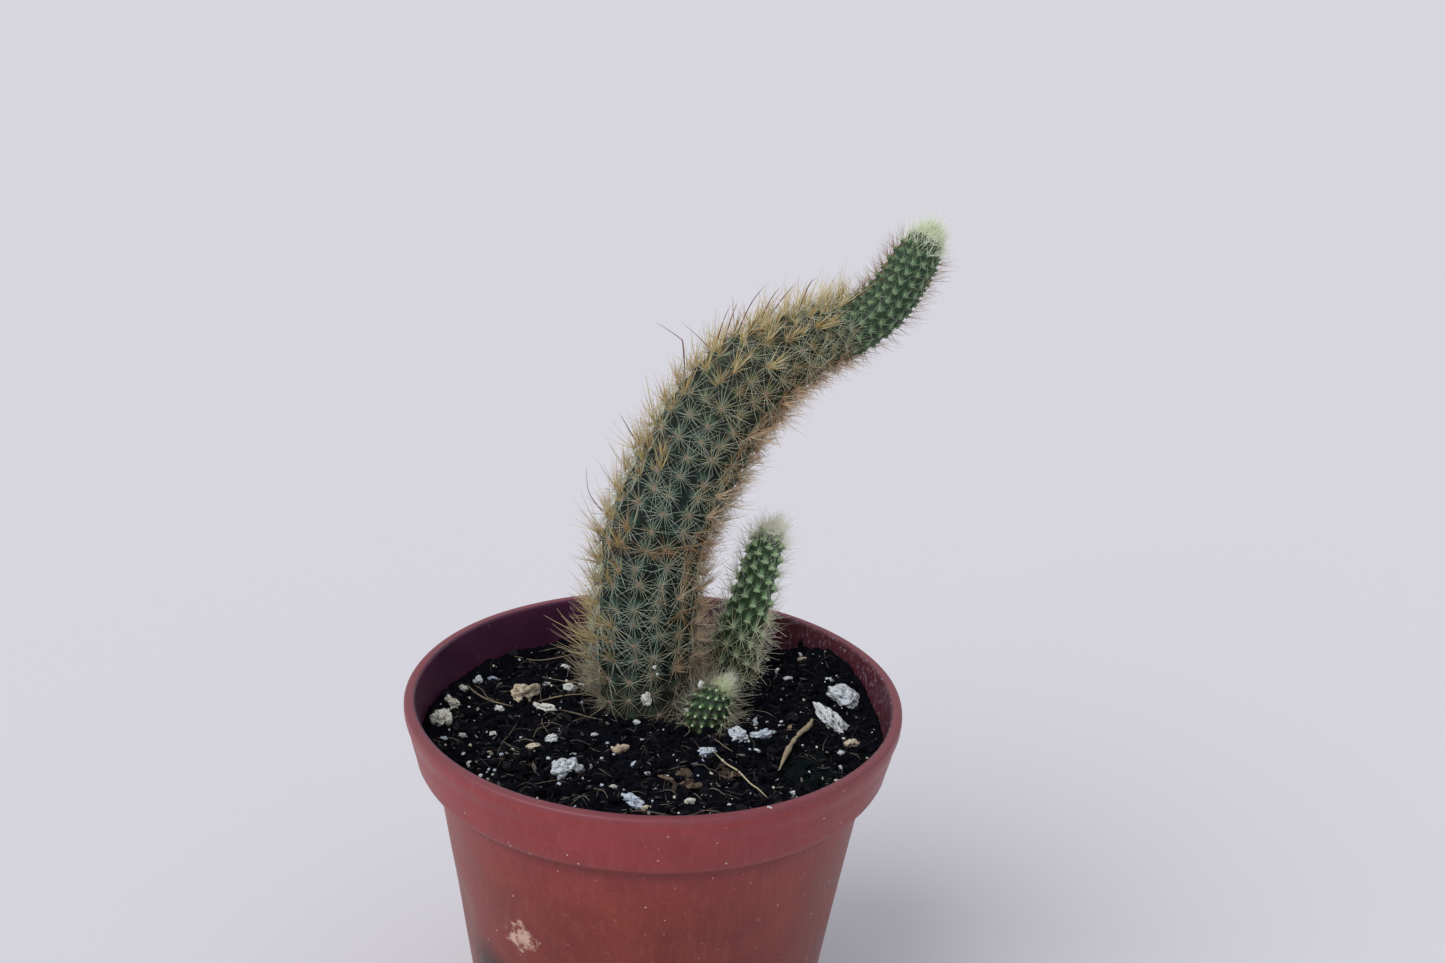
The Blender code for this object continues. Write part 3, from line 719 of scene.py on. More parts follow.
# They are set a little larger, because holes eat into their outline
BIG_SWELL = 1.1
SMALL_SWELL = 1.15
# Their middle lies this share of their thickness above the soil
BIG_RISE = 0.32
SMALL_RISE = 0.28
PERLITE_TONES = [(0, "#9fb0cd"), (0.25, "#c9d2dc"), (0.5, "#dfe0da"), (0.75, "#cfc6ae"), (1, "#ab8a66")]
# Some crumbs, as x, z and width, stick to the front of the main stem's foot, and one lies on the pot's lip
STEM_CRUMBS = (
    (-1.9, 82.7, 2.5),
    (-0.2, 90.5, 0.9),
    (0.4, 88.8, 0.6),
    (9.8, 86.9, 1.4),
    (7.1, 80.4, 1.0),
)
STEM_CRUMB_DEPTH = 7.2
LIP_CRUMB = (22.8, -46.1, 87.6, 1.3)


def perlite():
    """Expanded volcanic glass: dull white, blotched tan or blue-grey, and darker in its holes."""
    finish, shader = new_finish("expanded_perlite", roughness=0.9, ior=1.5, gloss=0.25)
    place = add_node(finish, "TexCoord")["Object"]
    tone = add_node(finish, "Attribute", {"attribute_name": "tone"})["Fac"]
    pit = add_node(finish, "Attribute", {"attribute_name": "pit"})["Fac"]
    blotch = {"Scale": 1 / (1.3 * MM), "Detail": 5, "Roughness": 0.7}
    blotch = add_node(finish, "TexNoise", blotch, {"Vector": place})["Fac"]
    colour = uneven(finish, tone, blotch, 0.7, PERLITE_TONES)
    # Darker in the small holes and in the deepest hollows
    bubbles = add_node(finish, "TexVoronoi", {"Scale": 1 / (0.6 * MM)}, {"Vector": place})["Distance"]
    darker_holes = add_node(finish, "MapRange", {"From Min": 0.36, "From Max": 0.1}, {"Value": bubbles})["Result"]
    darker_holes = add_node(finish, "Math", {"operation": "MULTIPLY"}, {0: darker_holes, 1: blotch})[0]
    deep = {"From Min": 0.62, "From Max": 1.0, "To Max": 0.9}
    deep = add_node(finish, "MapRange", deep, {"Value": pit})["Result"]
    darker_holes = add_node(finish, "Math", {"operation": "MAXIMUM"}, {0: darker_holes, 1: deep})[0]
    colour = cover(finish, colour, "#3d3d49", darker_holes, 0, 1)
    rise = add_node(finish, "Math", {"operation": "MULTIPLY_ADD", 1: 0.7}, {0: blotch, 2: bubbles})[0]
    coat(finish, shader, colour, rise, 0.7, 0.3 * MM)
    return finish


rng = random.Random(23)
dust_shapes = [rough_ball(1, 1.5, 0.5, rng) for _ in range(10)]
small_shapes = [rough_ball(3, 2.4, 0.5, rng, holes=0.6) for _ in range(10)]
grains = empty_heap("pit", "tone")
for x, y, length, breadth, turn, tilt, tone in BIG_PERLITE:
    size = [length * BIG_SWELL * MM, breadth * BIG_SWELL * MM, breadth * rng.uniform(0.8, 0.95) * MM]
    place = on_soil(x * MM, y * MM, size[2] * BIG_RISE)
    leaned = Matrix.Rotation(math.radians(turn), 3, "Z") @ Matrix.Rotation(math.radians(tilt), 3, "Y")
    shape = rough_ball(5, rng.uniform(2.2, 3.0), 0.55, rng, holes=1)
    set_lump(grains, shape, place, size, leaned @ Matrix.Rotation(rng.uniform(0, 6), 3, "X"), tone)
for x, y, length, breadth, turn, tone in PERLITE:
    size = [length * SMALL_SWELL * MM, breadth * SMALL_SWELL * MM, breadth * rng.uniform(0.75, 0.95) * MM]
    place = on_soil(x * MM, y * MM, size[2] * SMALL_RISE)
    tipped = Matrix.Rotation(rng.uniform(-0.4, 0.4), 3, "Y") @ Matrix.Rotation(rng.uniform(0, 6), 3, "X")
    spun = Matrix.Rotation(math.radians(turn), 3, "Z") @ tipped
    set_lump(grains, rng.choice(small_shapes), place, size, spun, tone)
for x, z, width in STEM_CRUMBS:
    place = Vector((x, STEM_CRUMB_DEPTH, z)) * MM
    size = [width * 0.9 * MM, width * 0.7 * MM, width * 1.15 * MM]
    set_lump(grains, rng.choice(small_shapes), place, size, random_turn(rng, tilt=0.3), 0.5)
x, y, z, width = LIP_CRUMB
lip_place = Vector((x, y, z)) * MM
set_lump(grains, small_shapes[0], lip_place, [width * MM] * 3, random_turn(rng), 0.4)
for index in range(DUST_CRUMBS):
    x, y = inside_pot(rng, 0.8 * MM)
    width = DUST_WIDTHS[0] + (DUST_WIDTHS[1] - DUST_WIDTHS[0]) * rng.random() ** 2.5
    place = on_soil(x, y, width * 0.3 + 0.3 * MM)
    size = [width * rng.uniform(0.8, 1.4), width * rng.uniform(0.6, 1), width * rng.uniform(0.5, 0.9)]
    set_lump(grains, rng.choice(dust_shapes), place, size, random_turn(rng), rng.uniform(0.1, 0.8))
new_piece("perlite_crumbs", grains, perlite())


# Roots, twigs and bark: dead bits that came with the peat and dried out on top of it.
# The thickest is a twig on the right, which leans over the soil to the front.

# Each is the x, y points of its route and its width in millimetres, its tone and how knotty it is
DEAD_BITS = (
    (((34.5, 7.8), (33.4, 3.8), (30.9, 0.3), (28.5, -6.1), (26.5, -12.9)), 1.45, 0.72, 0.5),
    (
        ((12.8, -6.2), (15.3, -10.7), (17.9, -14.3), (20.3, -18.3), (22.0, -21.5), (23.5, -25.8)),
        0.42,
        0.9,
        0.1,
    ),
    (((-41.5, 20.3), (-39.7, 17.3), (-36.3, 14.0), (-30.8, 12.0)), 0.45, 0.6, 0.2),
    (((-25.5, 14.4), (-19.7, 16.6), (-14.0, 19.0)), 0.34, 0.65, 0.2),
    (((-20.9, 10.4), (-17.0, 9.8), (-14.2, 8.2), (-11.1, 6.5)), 0.36, 0.5, 0.2),
    (((-25.4, -2.1), (-24.6, 1.6), (-23.0, 3.8), (-21.0, 6.8)), 0.45, 0.3, 0.3),
    (((-32.2, -11.4), (-31.7, -5.3), (-30.2, -0.8), (-29.2, 4.0)), 0.3, 0.3, 0.2),
    (((-32.4, 34.0), (-26.8, 35.4), (-19.0, 35.6)), 0.25, 0.7, 0.1),
    (((-40.0, 20.2), (-38.2, 18.4), (-36.5, 15.0), (-33.7, 14.3)), 0.28, 0.5, 0.1),
    (((11.6, 1.0), (14.0, -1.6), (15.0, -4.6), (17.2, -6.0)), 0.26, 0.6, 0.1),
    (((5.0, 6.4), (7.2, 5.4), (7.8, 3.2), (6.6, 1.0)), 0.3, 0.55, 0.2),
    (((-8.0, -34.0), (-2.0, -31.0), (6.0, -33.0), (13.0, -30.0)), 0.34, 0.35, 0.2),
    (((20.0, 40.0), (10.0, 43.0), (-2.0, 42.0)), 0.5, 0.45, 0.3),
    (((-12.0, 38.0), (-20.0, 41.0), (-27.0, 38.0)), 0.3, 0.55, 0.2),
)
ROOT_TONES = [(0.0, "#2a2522"), (0.5, "#6b6154"), (0.75, "#a39478"), (1.0, "#cfc3a6")]
# Each patch of bark is x, y and its width in millimetres
BARK_BITS = (
    (6.3, -18.0, 6.4),
    (15.9, -13.9, 4.6),
    (9.0, 33.5, 4.4),
    (-33.0, -27.0, 4.0),
    (12.6, 22.0, 3.4),
)
BARK_FLAKES = 13
BARK_SPREAD = 0.28
BARK_TONES = [(0.0, "#1a1513"), (0.5, "#443830"), (0.75, "#6f5e50"), (1.0, "#a08a72")]


def dead_wood(name, stops, grain):
    """Dry root and bark: dull tan to brown, with a fine mottled grain."""
    finish, shader = new_finish(name, roughness=0.85, ior=1.5, gloss=0.2)
    place = add_node(finish, "TexCoord")["Object"]
    tone = add_node(finish, "Attribute", {"attribute_name": "tone"})["Fac"]
    fine = {"Scale": 1 / grain, "Detail": 5, "Roughness": 0.7}
    fine = add_node(finish, "TexNoise", fine, {"Vector": place})["Fac"]
    coat(finish, shader, uneven(finish, tone, fine, 0.8, stops), fine, 0.6, 0.15 * MM)
    return finish


rng = random.Random(31)
long_rod = straight_rod(7, 22)
roots = empty_heap("tone")
for points, width, tone, knots in DEAD_BITS:
    route = []
    for x, y in points:
        route.append(on_soil(x * MM, y * MM, (width * 0.4 + rng.uniform(0.8, 1.3)) * MM))
    lay_rod(roots, long_rod, route, width * MM, tone, taper=0.35, knots=knots)
new_piece("roots_and_twigs", roots, dead_wood("dry_root", ROOT_TONES, 0.6 * MM))

flake_shapes = [rough_ball(3, 3.5, 0.5, rng) for _ in range(5)]
bark = empty_heap("pit", "tone")
for x, y, width in BARK_BITS:
    for flake in range(BARK_FLAKES):
        east, north = rng.gauss(0, BARK_SPREAD) * width, rng.gauss(0, BARK_SPREAD) * width
        place = on_soil((x + east) * MM, (y + north) * MM, rng.uniform(0.2, 0.9) * MM)
        size = [width * share * MM for share in (rng.uniform(0.4, 0.7), rng.uniform(0.15, 0.3), 0.14)]
        shape = rng.choice(flake_shapes)
        turn = random_turn(rng, tilt=0.7)
        set_lump(bark, shape, place, size, turn, rng.uniform(0.2, 0.8))
new_piece("bark_flakes", bark, dead_wood("pine_bark", BARK_TONES, 0.5 * MM))


# Main stem: a column of green flesh with 14 ribs, broken into tubercles that each carry an areole.
# The skin is waxy and blue-green, corky and dusty at the foot, olive on the bend and fresh green at the
# tip. Its lower end is held in the soil.
MAIN_RIBS = 14
MAIN_TWIST = 4
MAIN_FOOT = 77.5 * MM
# A step from one areole to the next is a share of the radius and a length added to it
MAIN_STEP = (0.34, 0.56 * MM)
FINE_ROWS = 8
FINE_COLUMNS = 8
# A relief is the depth of the valleys and of the notches, as shares of the radius
OLD_RELIEF = (0.07, 0.04)
TIP_RELIEF = (0.09, 0.08)
YOUNG_RELIEF = (0.14, 0.13)
BUMP_EDGE = 0.9
DOME_SHARE = 1.7
FRESH_LENGTH = 28 * MM
REGULAR_LENGTH = 1.1 * FRESH_LENGTH
JITTER = 0.35
JITTER_REACH = 4 * MM
CORK_HEIGHTS = (88 * MM, 78 * MM)
# Each ramp runs from the painted shade of the valleys to the painted light on the tubercles
OLD_GREENS = [(0.1, "#131f1a"), (0.5, "#20362c"), (0.9, "#3a5648")]
BEND_GREENS = [(0.1, "#1b210f"), (0.5, "#313c22"), (0.9, "#4f5c36")]
FRESH_GREENS = [(0.1, "#293d29"), (0.5, "#415f41"), (0.9, "#638359")]
MAIN_CORK = "#3f3a30"


def along(axis):
    """Length along a smooth axis at each of its points."""
    lengths = [0.0]
    for start, end in zip(axis, axis[1:]):
        lengths.append(lengths[-1] + (end.xyz - start.xyz).length)
    return lengths


def station(axis, lengths, length):
    """Place, outward directions, tangent and radius of a stem at a length along its axis."""
    last = len(axis) - 1
    index = next((i for i in range(last) if lengths[i + 1] >= length), last - 1)
    share = (length - lengths[index]) / (lengths[index + 1] - lengths[index])
    point = axis[index].lerp(axis[index + 1], share)
    before = axis[max(index - AXIS_STEPS // 2, 0)]
    after = axis[min(index + 1 + AXIS_STEPS // 2, last)]
    tangent = (after.xyz - before.xyz).normalized()
    back = Vector((0, 1, 0))
    back = (back - tangent * back.dot(tangent)).normalized()
    return point.xyz, back.cross(tangent), back, tangent, point.w


def dome(length, total, radius):
    """Share of the radius left where a stem rounds off to its tip."""
    depth = 1 - (total - length) / (DOME_SHARE * radius)
    return math.sqrt(max(0, 1 - max(0, depth) ** 2))


def wave(share):
    """One at whole numbers, nought halfway between them, smooth."""
    return 0.5 + 0.5 * math.cos(math.tau * share)


def areole_rows(axis, lengths, foot, step):
    """Lengths along the axis of the areoles of the first rib, from the foot in the soil to the tip."""
    share, added = step
    rows = [next(length for point, length in zip(axis, lengths) if point.z > foot)]
    while rows[-1] < lengths[-1]:
        rows.append(rows[-1] + share * station(axis, lengths, rows[-1])[4] + added)
    return rows


def row_length(rows, place):
    """Length along the axis at a place counted in areoles, whole or not."""
    index = min(max(int(place), 0), len(rows) - 2)
    return rows[index] + (rows[index + 1] - rows[index]) * (place - index)


def stem_skin(axis, rows, ribs, twist, relief, fresh_length):
    """The stem's closed skin with its tubercles raised, from rings bridged along the axis."""
    lengths = along(axis)
    bm = bmesh.new()
    raised = bm.verts.layers.float.new("raised")
    age = bm.verts.layers.float.new("age")
    loops = []
    moves = []
    places = [step / FINE_ROWS for step in range(-2 * FINE_ROWS, len(rows) * FINE_ROWS)]
    places = [place for place in places if row_length(rows, place) < lengths[-1] - 0.1 * MM]
    for place in places:
        length = row_length(rows, place)
        centre, right, back, tangent, radius = station(axis, lengths, length)
        reach = radius * dome(length, lengths[-1], radius)
        fresh = max(0, 1 - (lengths[-1] - length) / fresh_length)
        valley, notch = [old + (young - old) * min(1, 2 * fresh) for old, young in zip(*relief)]
        ring = []
        for column in range(ribs * FINE_COLUMNS):
            rib = column / FINE_COLUMNS
            angle = math.tau * rib / ribs
            out = right * math.cos(angle) + back * math.sin(angle)
            ridge = wave(rib) ** 0.8
            bump = wave(place - 0.1 - round(rib) * twist / ribs) ** BUMP_EDGE
            lowered = valley * (1 - ridge) + notch * ridge * (1 - bump)
            vert = bm.verts.new(centre + out * reach)
            vert[raised] = ridge * bump
            vert[age] = (lengths[-1] - length) / fresh_length
            moves.append((vert, centre + out * reach * (1 - lowered)))
            ring.append(vert)
        loops.append([bm.edges.new(pair) for pair in zip(ring, ring[1:] + ring[:1])])
    for low, high in zip(loops, loops[1:]):
        bmesh.ops.bridge_loops(bm, edges=low + high)
    bmesh.ops.contextual_create(bm, geom=loops[0])
    bmesh.ops.contextual_create(bm, geom=loops[-1])
    bmesh.ops.recalc_face_normals(bm, faces=bm.faces)
    for vert, moved in moves:
        vert.co = moved
    for face in bm.faces:
        face.smooth = True
    return bm


def areoles(axis, rows, ribs, twist, jitter=0, regular=0):
    """Each areole's place, directions, distance from the tip, and how far left and in front it is."""
    lengths = along(axis)
    found = []
    for rib in range(ribs):
        for row in range(-1, len(rows)):
            length = row_length(rows, row + rib * twist / ribs - int(rib * twist / ribs))
            if not rows[0] - 0.5 * MM < length < lengths[-1] - 0.4 * MM:
                continue
            chance = Vector((3.7 * rib, 2.9 * row, 0.5)) * (lengths[-1] - length > regular)
            length += jitter * noise.noise(chance) * JITTER_REACH
            centre, right, back, tangent, radius = station(axis, lengths, length)
            rounding = dome(length, lengths[-1], radius)
            angle = math.tau * (rib + jitter * noise.noise(-chance)) / ribs
            out = right * math.cos(angle) + back * math.sin(angle)
            normal = (out * max(rounding, 0.2) + tangent * (1.02 - rounding)).normalized()
            found.append(
                {
                    "place": centre + out * radius * rounding,
                    "normal": normal,
                    "tangent": tangent,
                    "radius": radius,
                    "left": lengths[-1] - length,
                    "side": -math.cos(angle),
                    "front": -math.sin(angle),
                }
            )
    return found


def cactus_skin(name, old_greens, bend_greens, fresh_greens, cork):
    """Waxy cactus skin: dull sheen, painted light on the tubercles and painted shade in the valleys, corky
    at the soil.
    """
    finish, shader = new_finish(name, roughness=0.5, ior=1.4, gloss=0.35)
    place = add_node(finish, "TexCoord")["Object"]
    raised = add_node(finish, "Attribute", {"attribute_name": "raised"})["Fac"]
    age = add_node(finish, "Attribute", {"attribute_name": "age"})["Fac"]
    mottle = {"Scale": 1 / (1.4 * MM), "Detail": 4, "Roughness": 0.6}
    mottle = add_node(finish, "TexNoise", mottle, {"Vector": place})["Fac"]
    # Painted light and shade: the tubercles' tops are painted lighter and the valleys between them darker
    level = {"To Min": -0.25, "To Max": 0.75}
    level = add_node(finish, "MapRange", level, {"Value": raised})["Result"]
    level = add_node(finish, "Math", {"operation": "MULTIPLY_ADD", 1: 0.5}, {0: mottle, 2: level})[0]
    greens = (old_greens, bend_greens, fresh_greens)
    ramps = [add_node(finish, "ValToRGB", None, {"Fac": level}, green)["Color"] for green in greens]
    old, bend, fresh = ramps
    colour = cover(finish, bend, old, age, 1.6, 2.6)
    colour = cover(finish, fresh, colour, age, 0.75, 1.25)
    height = add_node(finish, "SeparateXYZ", None, {0: place})["Z"]
    colour = cover(finish, colour, cork, height, *CORK_HEIGHTS, 0.9, mottle)
    coat(finish, shader, colour, mottle, 0.3, 0.15 * MM)
    return finish


main_lengths = along(main_axis)
main_rows = areole_rows(main_axis, main_lengths, MAIN_FOOT, MAIN_STEP)
main_relief = (OLD_RELIEF, TIP_RELIEF)
main_skin = stem_skin(main_axis, main_rows, MAIN_RIBS, MAIN_TWIST, main_relief, FRESH_LENGTH)
waxy_skin = cactus_skin("waxy_cactus_skin", OLD_GREENS, BEND_GREENS, FRESH_GREENS, MAIN_CORK)
new_piece("main_stem_skin", main_skin, waxy_skin, "main_stem")
main_areoles = areoles(main_axis, main_rows, MAIN_RIBS, MAIN_TWIST, JITTER, REGULAR_LENGTH)


# Spines of the main stem: stiff dead needles of woody fibre, grown from a felt cushion on each tubercle.
# Thin pale ones spread flat like a star, and longer golden or tan ones lean to the tip in a brush. They
# are about 0.1 mm thick, and all but the youngest are drawn thicker, so that they show.

# Each star is its number of spines, their rise in degrees, their lengths and width, their tones, and how
# far they stray from an even ring
RADIAL_STAR = (20, (4, 28), (2.4 * MM, 6.6 * MM), 0.17 * MM, (0.0, 0.35), 0.35)
CENTRAL_STAR = (5, (25, 80), (2.4 * MM, 6.5 * MM), 0.17 * MM, (0.1, 0.6), 0.5)
BRISTLE_FAN = (8, (42, 86), (3.6 * MM, 9.6 * MM), 0.2 * MM, (0.0, 0.75), 0.5)
BRISTLE_BRUSH = (8, (62, 88), (3.6 * MM, 9.6 * MM), 0.2 * MM, (0.0, 0.75), 0.5)
FRESH_STAR = (8, (25, 85), (2.2 * MM, 5.0 * MM), 0.09 * MM, (0.0, 0.5), 0.5)
FLAT_STAR = (6, (5, 40), (1.2 * MM, 2.8 * MM), 0.06 * MM, (0.5, 1.0), 0.5)
RING_STAR = (9, (5, 40), (3.0 * MM, 6.4 * MM), 0.2 * MM, (0.0, 0.3), 0.5, True)
TIP_BACK = 5 * MM
FACING_FRONT = 0.45
GOLDEN_BACK = 36 * MM
GOLDEN_SPREAD = 17 * MM
BEND_BACK = (78 * MM, 48 * MM)
RING_HEIGHT = 118.2 * MM
RING_SPREAD = 1.7 * MM
LOW_HEIGHTS = (104 * MM, 84 * MM)
DEAD_HEIGHTS = (93 * MM, 82 * MM)
DUSTY_HEIGHTS = (97 * MM, 80 * MM)
ASIDE = 1.0 * MM
PALE_TONES = [(0.0, "#a4b3a4"), (0.25, "#b9c0ab"), (0.5, "#b0a67c"), (0.8, "#b27c4c"), (1.0, "#5f534a")]
GOLD_TONES = [(0.0, "#f3eedd"), (0.25, "#e9dfb0"), (0.5, "#d9c981"), (0.75, "#c7a066"), (1.0, "#a07555")]
TAN_GLOW_TONES = [(0.0, "#f2e6d0"), (0.35, "#e8cca4"), (0.7, "#d2a278"), (1.0, "#7d6150")]


def star(rng, count, rises, lengths, width, tones, stray, sideways=False):
    """A mesh of one areole's spines: three-sided, in two steps to a point, round Z with X to the tip."""
    bm = empty_heap("reach", "tone")
    reach = bm.verts.layers.float["reach"]
    shade = bm.verts.layers.float["tone"]
    for index in range(count):
        turn = math.tau * (index + rng.uniform(-stray, stray)) / count
        if sideways:
            turn = math.pi * (index % 2 + 0.5) + rng.uniform(-0.5, 0.5)
        rise = math.radians(rng.uniform(*rises))
        way = Vector((math.cos(turn) * math.cos(rise), math.sin(turn) * math.cos(rise), math.sin(rise)))
        size = lengths[0] + (lengths[1] - lengths[0]) * rng.random() ** 1.4
        hue = rng.uniform(*tones)
        aim = way.to_track_quat("Z", "Y").to_matrix().to_4x4()
        made = bmesh.ops.create_cone(
            bm,
            cap_ends=True,
            segments=3,
            radius1=width / 2,
            radius2=width / 9,
            depth=size,
            matrix=aim @ Matrix.Translation((0, 0, size / 2)),
        )
        for vert in made["verts"]:
            vert[reach] = vert.co.length > size / 2
            vert[shade] = hue
    sides = [edge for edge in bm.edges if edge.verts[0][reach] != edge.verts[1][reach]]
    bmesh.ops.subdivide_edges(bm, edges=sides, cuts=1)
    return to_mesh("star", bm)


def wool(rng, length=1.0):
    """A mesh of one areole's felt: a small uneven cushion, one unit wide and this long to the tip."""
    bm = bmesh.new()
    bmesh.ops.create_icosphere(bm, subdivisions=2, radius=0.5)
    shift = Vector([rng.uniform(0, 9) for _ in range(3)])
    for vert in bm.verts:
        vert.co *= 1 + 0.5 * noise.noise(vert.co * 4 + shift)
        vert.co.x *= length
        vert.co.z *= 0.6
    for face in bm.faces:
        face.smooth = True
    return to_mesh("wool", bm)


def plant(bm, mesh, spot, turn, size, lean=0, sweep=Vector(), tone=0):
    """Sets a copy of a mesh on an areole, leaned to the tip, bent by a sweep, and kept off the soil."""
    normal = spot["normal"]
    ahead = (spot["tangent"] - normal * spot["tangent"].dot(normal)).normalized()
    axes = Matrix((ahead, normal.cross(ahead), normal)).transposed()
    axes = axes @ Matrix.Rotation(math.radians(lean), 3, "Y") @ Matrix.Rotation(turn, 3, "Z")
    copy = add_copy(bm, mesh)
    reach = bm.verts.layers.float.get("reach")
    shade = bm.verts.layers.float.get("tone")
    low = spot["place"].z < SOIL_LEVEL + 10 * MM
    for vert in copy:
        vert.co = spot["place"] + axes @ (vert.co * size)
        if reach:
            vert.co += sweep * vert[reach] ** 1.6
            vert[shade] += tone
        if low:
            vert.co.z = max(vert.co.z, soil_height(vert.co.x, vert.co.y) + 0.3 * MM)


def cactus_spine(name, stops, root, tip, dust=None, down=0):
    """Cactus spines: horny with a slight shine, or downy, their root and their point in other colours."""
    finish, shader = new_finish(name, roughness=0.45, ior=1.5, gloss=0.3)
    shader.inputs["Sheen Weight"].default_value = down
    shader.inputs["Sheen Roughness"].default_value = 0.5
    place = add_node(finish, "TexCoord")["Object"]
    tone = add_node(finish, "Attribute", {"attribute_name": "tone"})["Fac"]
    reach = add_node(finish, "Attribute", {"attribute_name": "reach"})["Fac"]
    mottle = {"Scale": 1 / (2.5 * MM), "Detail": 2}
    mottle = add_node(finish, "TexNoise", mottle, {"Vector": place})["Fac"]
    colour = uneven(finish, tone, mottle, 0.3, stops)
    colour = cover(finish, colour, root, reach, 0.35, 0, 0.7)
    colour = cover(finish, colour, tip, reach, 0.55, 1, 0.7)
    if dust:
        height = add_node(finish, "SeparateXYZ", None, {0: place})["Z"]
        colour = cover(finish, colour, dust, height, *DUSTY_HEIGHTS, 0.85)
    coat(finish, shader, colour, mottle, 0.1, 0.015 * MM)
    return finish


def felt(name, dark, light):
    """Areole felt: very short dense wool, quite matt, with a fine uneven nap."""
    finish, shader = new_finish(name, roughness=0.95, ior=1.5, gloss=0.1)
    place = add_node(finish, "TexCoord")["Object"]
    nap = {"Scale": 1 / (0.35 * MM), "Detail": 3, "Roughness": 0.7}
    nap = add_node(finish, "TexNoise", nap, {"Vector": place})["Fac"]
    colour = add_node(finish, "ValToRGB", None, {"Fac": nap}, [(0.3, dark), (0.7, light)])["Color"]
    coat(finish, shader, colour, nap, 0.5, 0.1 * MM)
    return finish


def share_of(value, low, high):
    """Share from 0 to 1 of a value between two others, smooth at both ends."""
    share = min(1, max(0, (value - low) / (high - low)))
    return share * share * (3 - 2 * share)


rng = random.Random(5)
radial_stars = [star(rng, *RADIAL_STAR) for _ in range(16)]
central_stars = [star(rng, *CENTRAL_STAR) for _ in range(12)]
fans = [star(rng, *BRISTLE_FAN) for _ in range(24)]
brushes = [star(rng, *BRISTLE_BRUSH) for _ in range(24)]
fresh_stars = [star(rng, *FRESH_STAR) for _ in range(8)]
flat_stars = [star(rng, *FLAT_STAR) for _ in range(8)]
ring_stars = [star(rng, *RING_STAR) for _ in range(6)]
cushions = [wool(rng) for _ in range(6)]
radials, golden_brush, tan_brush, fresh_hairs, cushion_felt, fresh_felt = [bmesh.new() for _ in range(6)]
for spot in main_areoles:
    left = spot["left"]
    side = spot["side"]
    if left < FRESH_LENGTH * rng.uniform(0.82, 1.02):
        # Fresh areoles have a dot of felt and thin hairs, white in front and at the very tip
        sweep = spot["tangent"] * 0.9 * MM
        if left < TIP_BACK:
            plant(fresh_hairs, rng.choice(fresh_stars), spot, rng.uniform(0, 6), 1, 30, sweep)
        elif spot["front"] > FACING_FRONT:
            plant(fresh_hairs, rng.choice(flat_stars), spot, rng.uniform(0, 6), 1, 30, sweep)
        else:
            plant(radials, rng.choice(fresh_stars), spot, rng.uniform(0, 6), 1, 25, sweep, 0.55)
        size = (0.6 + 0.35 * share_of(left, 0, 12 * MM)) * MM
        plant(fresh_felt, rng.choice(cushions), spot, rng.uniform(0, 6), size)
        continue
    height = spot["place"].z
    old = min(1, (spot["radius"] - 5 * MM) / (6 * MM))
    bend = share_of(left, *BEND_BACK)
    golden = math.exp(-(((left - GOLDEN_BACK) / GOLDEN_SPREAD) ** 2)) * share_of(side, -0.7, 0.5)
    ring = math.exp(-(((height - RING_HEIGHT) / RING_SPREAD) ** 2))
    low = share_of(height, *LOW_HEIGHTS)
    inner = share_of(-side, 0.1, 0.8)
    dead = share_of(height, *DEAD_HEIGHTS) * share_of(-side, -0.1, 0.6)
    tone = rng.uniform(-0.15, 0.15) + 0.5 * ring + 0.22 * bend + 0.3 * inner + 0.7 * dead

    # Flat star of pale radial spines, tilted a little by chance, and browner ones in a ring round the stem
    size = (0.7 + 0.3 * old) * rng.uniform(0.85, 1.2)
    sweep = spot["normal"] * rng.uniform(-0.3, 0.6) * MM + spot["tangent"] * 1.2 * bend * MM
    tilt = rng.uniform(-8, 14) + 22 * bend
    plant(radials, rng.choice(radial_stars), spot, rng.uniform(0, 6), size, tilt, sweep, tone)
    if ring > 0.3:
        plant(radials, rng.choice(ring_stars), spot, rng.uniform(-0.2, 0.2), 1, 10, Vector(), 0.65)

    # Long bristles on the sides and the back, which lean to the tip, and a few shorter ones in front
    beside = share_of(abs(side), 0.45, 0.8)
    behind = share_of(-spot["front"], -0.1, 0.4)
    if rng.random() < max(beside, behind, golden * share_of(side, 0.0, 0.5)):
        # Bristles on the right flank go into the tan brush: a real tan, painted brighter as a glow of
        # light from behind
        outside = side > -0.3 or spot["front"] < -0.3
        bristles = golden_brush if outside else tan_brush
        hue = (0.3 - 0.25 * golden if outside else 0) + 0.7 * dead
        for layer in range(4 if inner > 0.5 else 3):
            size = (0.65 + 0.35 * old) * rng.uniform(0.75, 1.15) * (1 - 0.2 * layer) * (1 - 0.2 * inner)
            size *= 1 + 0.15 * low * (1 - inner) + 0.25 * golden
            lean = rng.gauss(50, 8) - 20 * low - 8 * inner - 14 * layer * (1 - low) - 10 * golden
            shapes = brushes if golden > 0.4 or layer == 0 else fans
            sweep = spot["tangent"] * rng.uniform(0.2, 1.2) * MM
            aside = Vector([rng.uniform(-ASIDE, ASIDE) for _ in range(3)])
            near = dict(spot, place=spot["place"] + aside)
            plant(bristles, rng.choice(shapes), near, rng.uniform(0, 6), size, lean, sweep, hue)
    else:
        size = (0.7 + 0.3 * old) * rng.uniform(0.8, 1.2) * (1 - 0.25 * bend)
        sweep = spot["tangent"] * MM
        plant(radials, rng.choice(central_stars), spot, rng.uniform(0, 6), size, 20, sweep, tone + 0.1)
    size = (0.85 + 0.3 * old) * rng.uniform(0.8, 1.15) * (1 - 0.3 * bend) * MM
    plant(cushion_felt, rng.choice(cushions), spot, rng.uniform(0, 6), size)
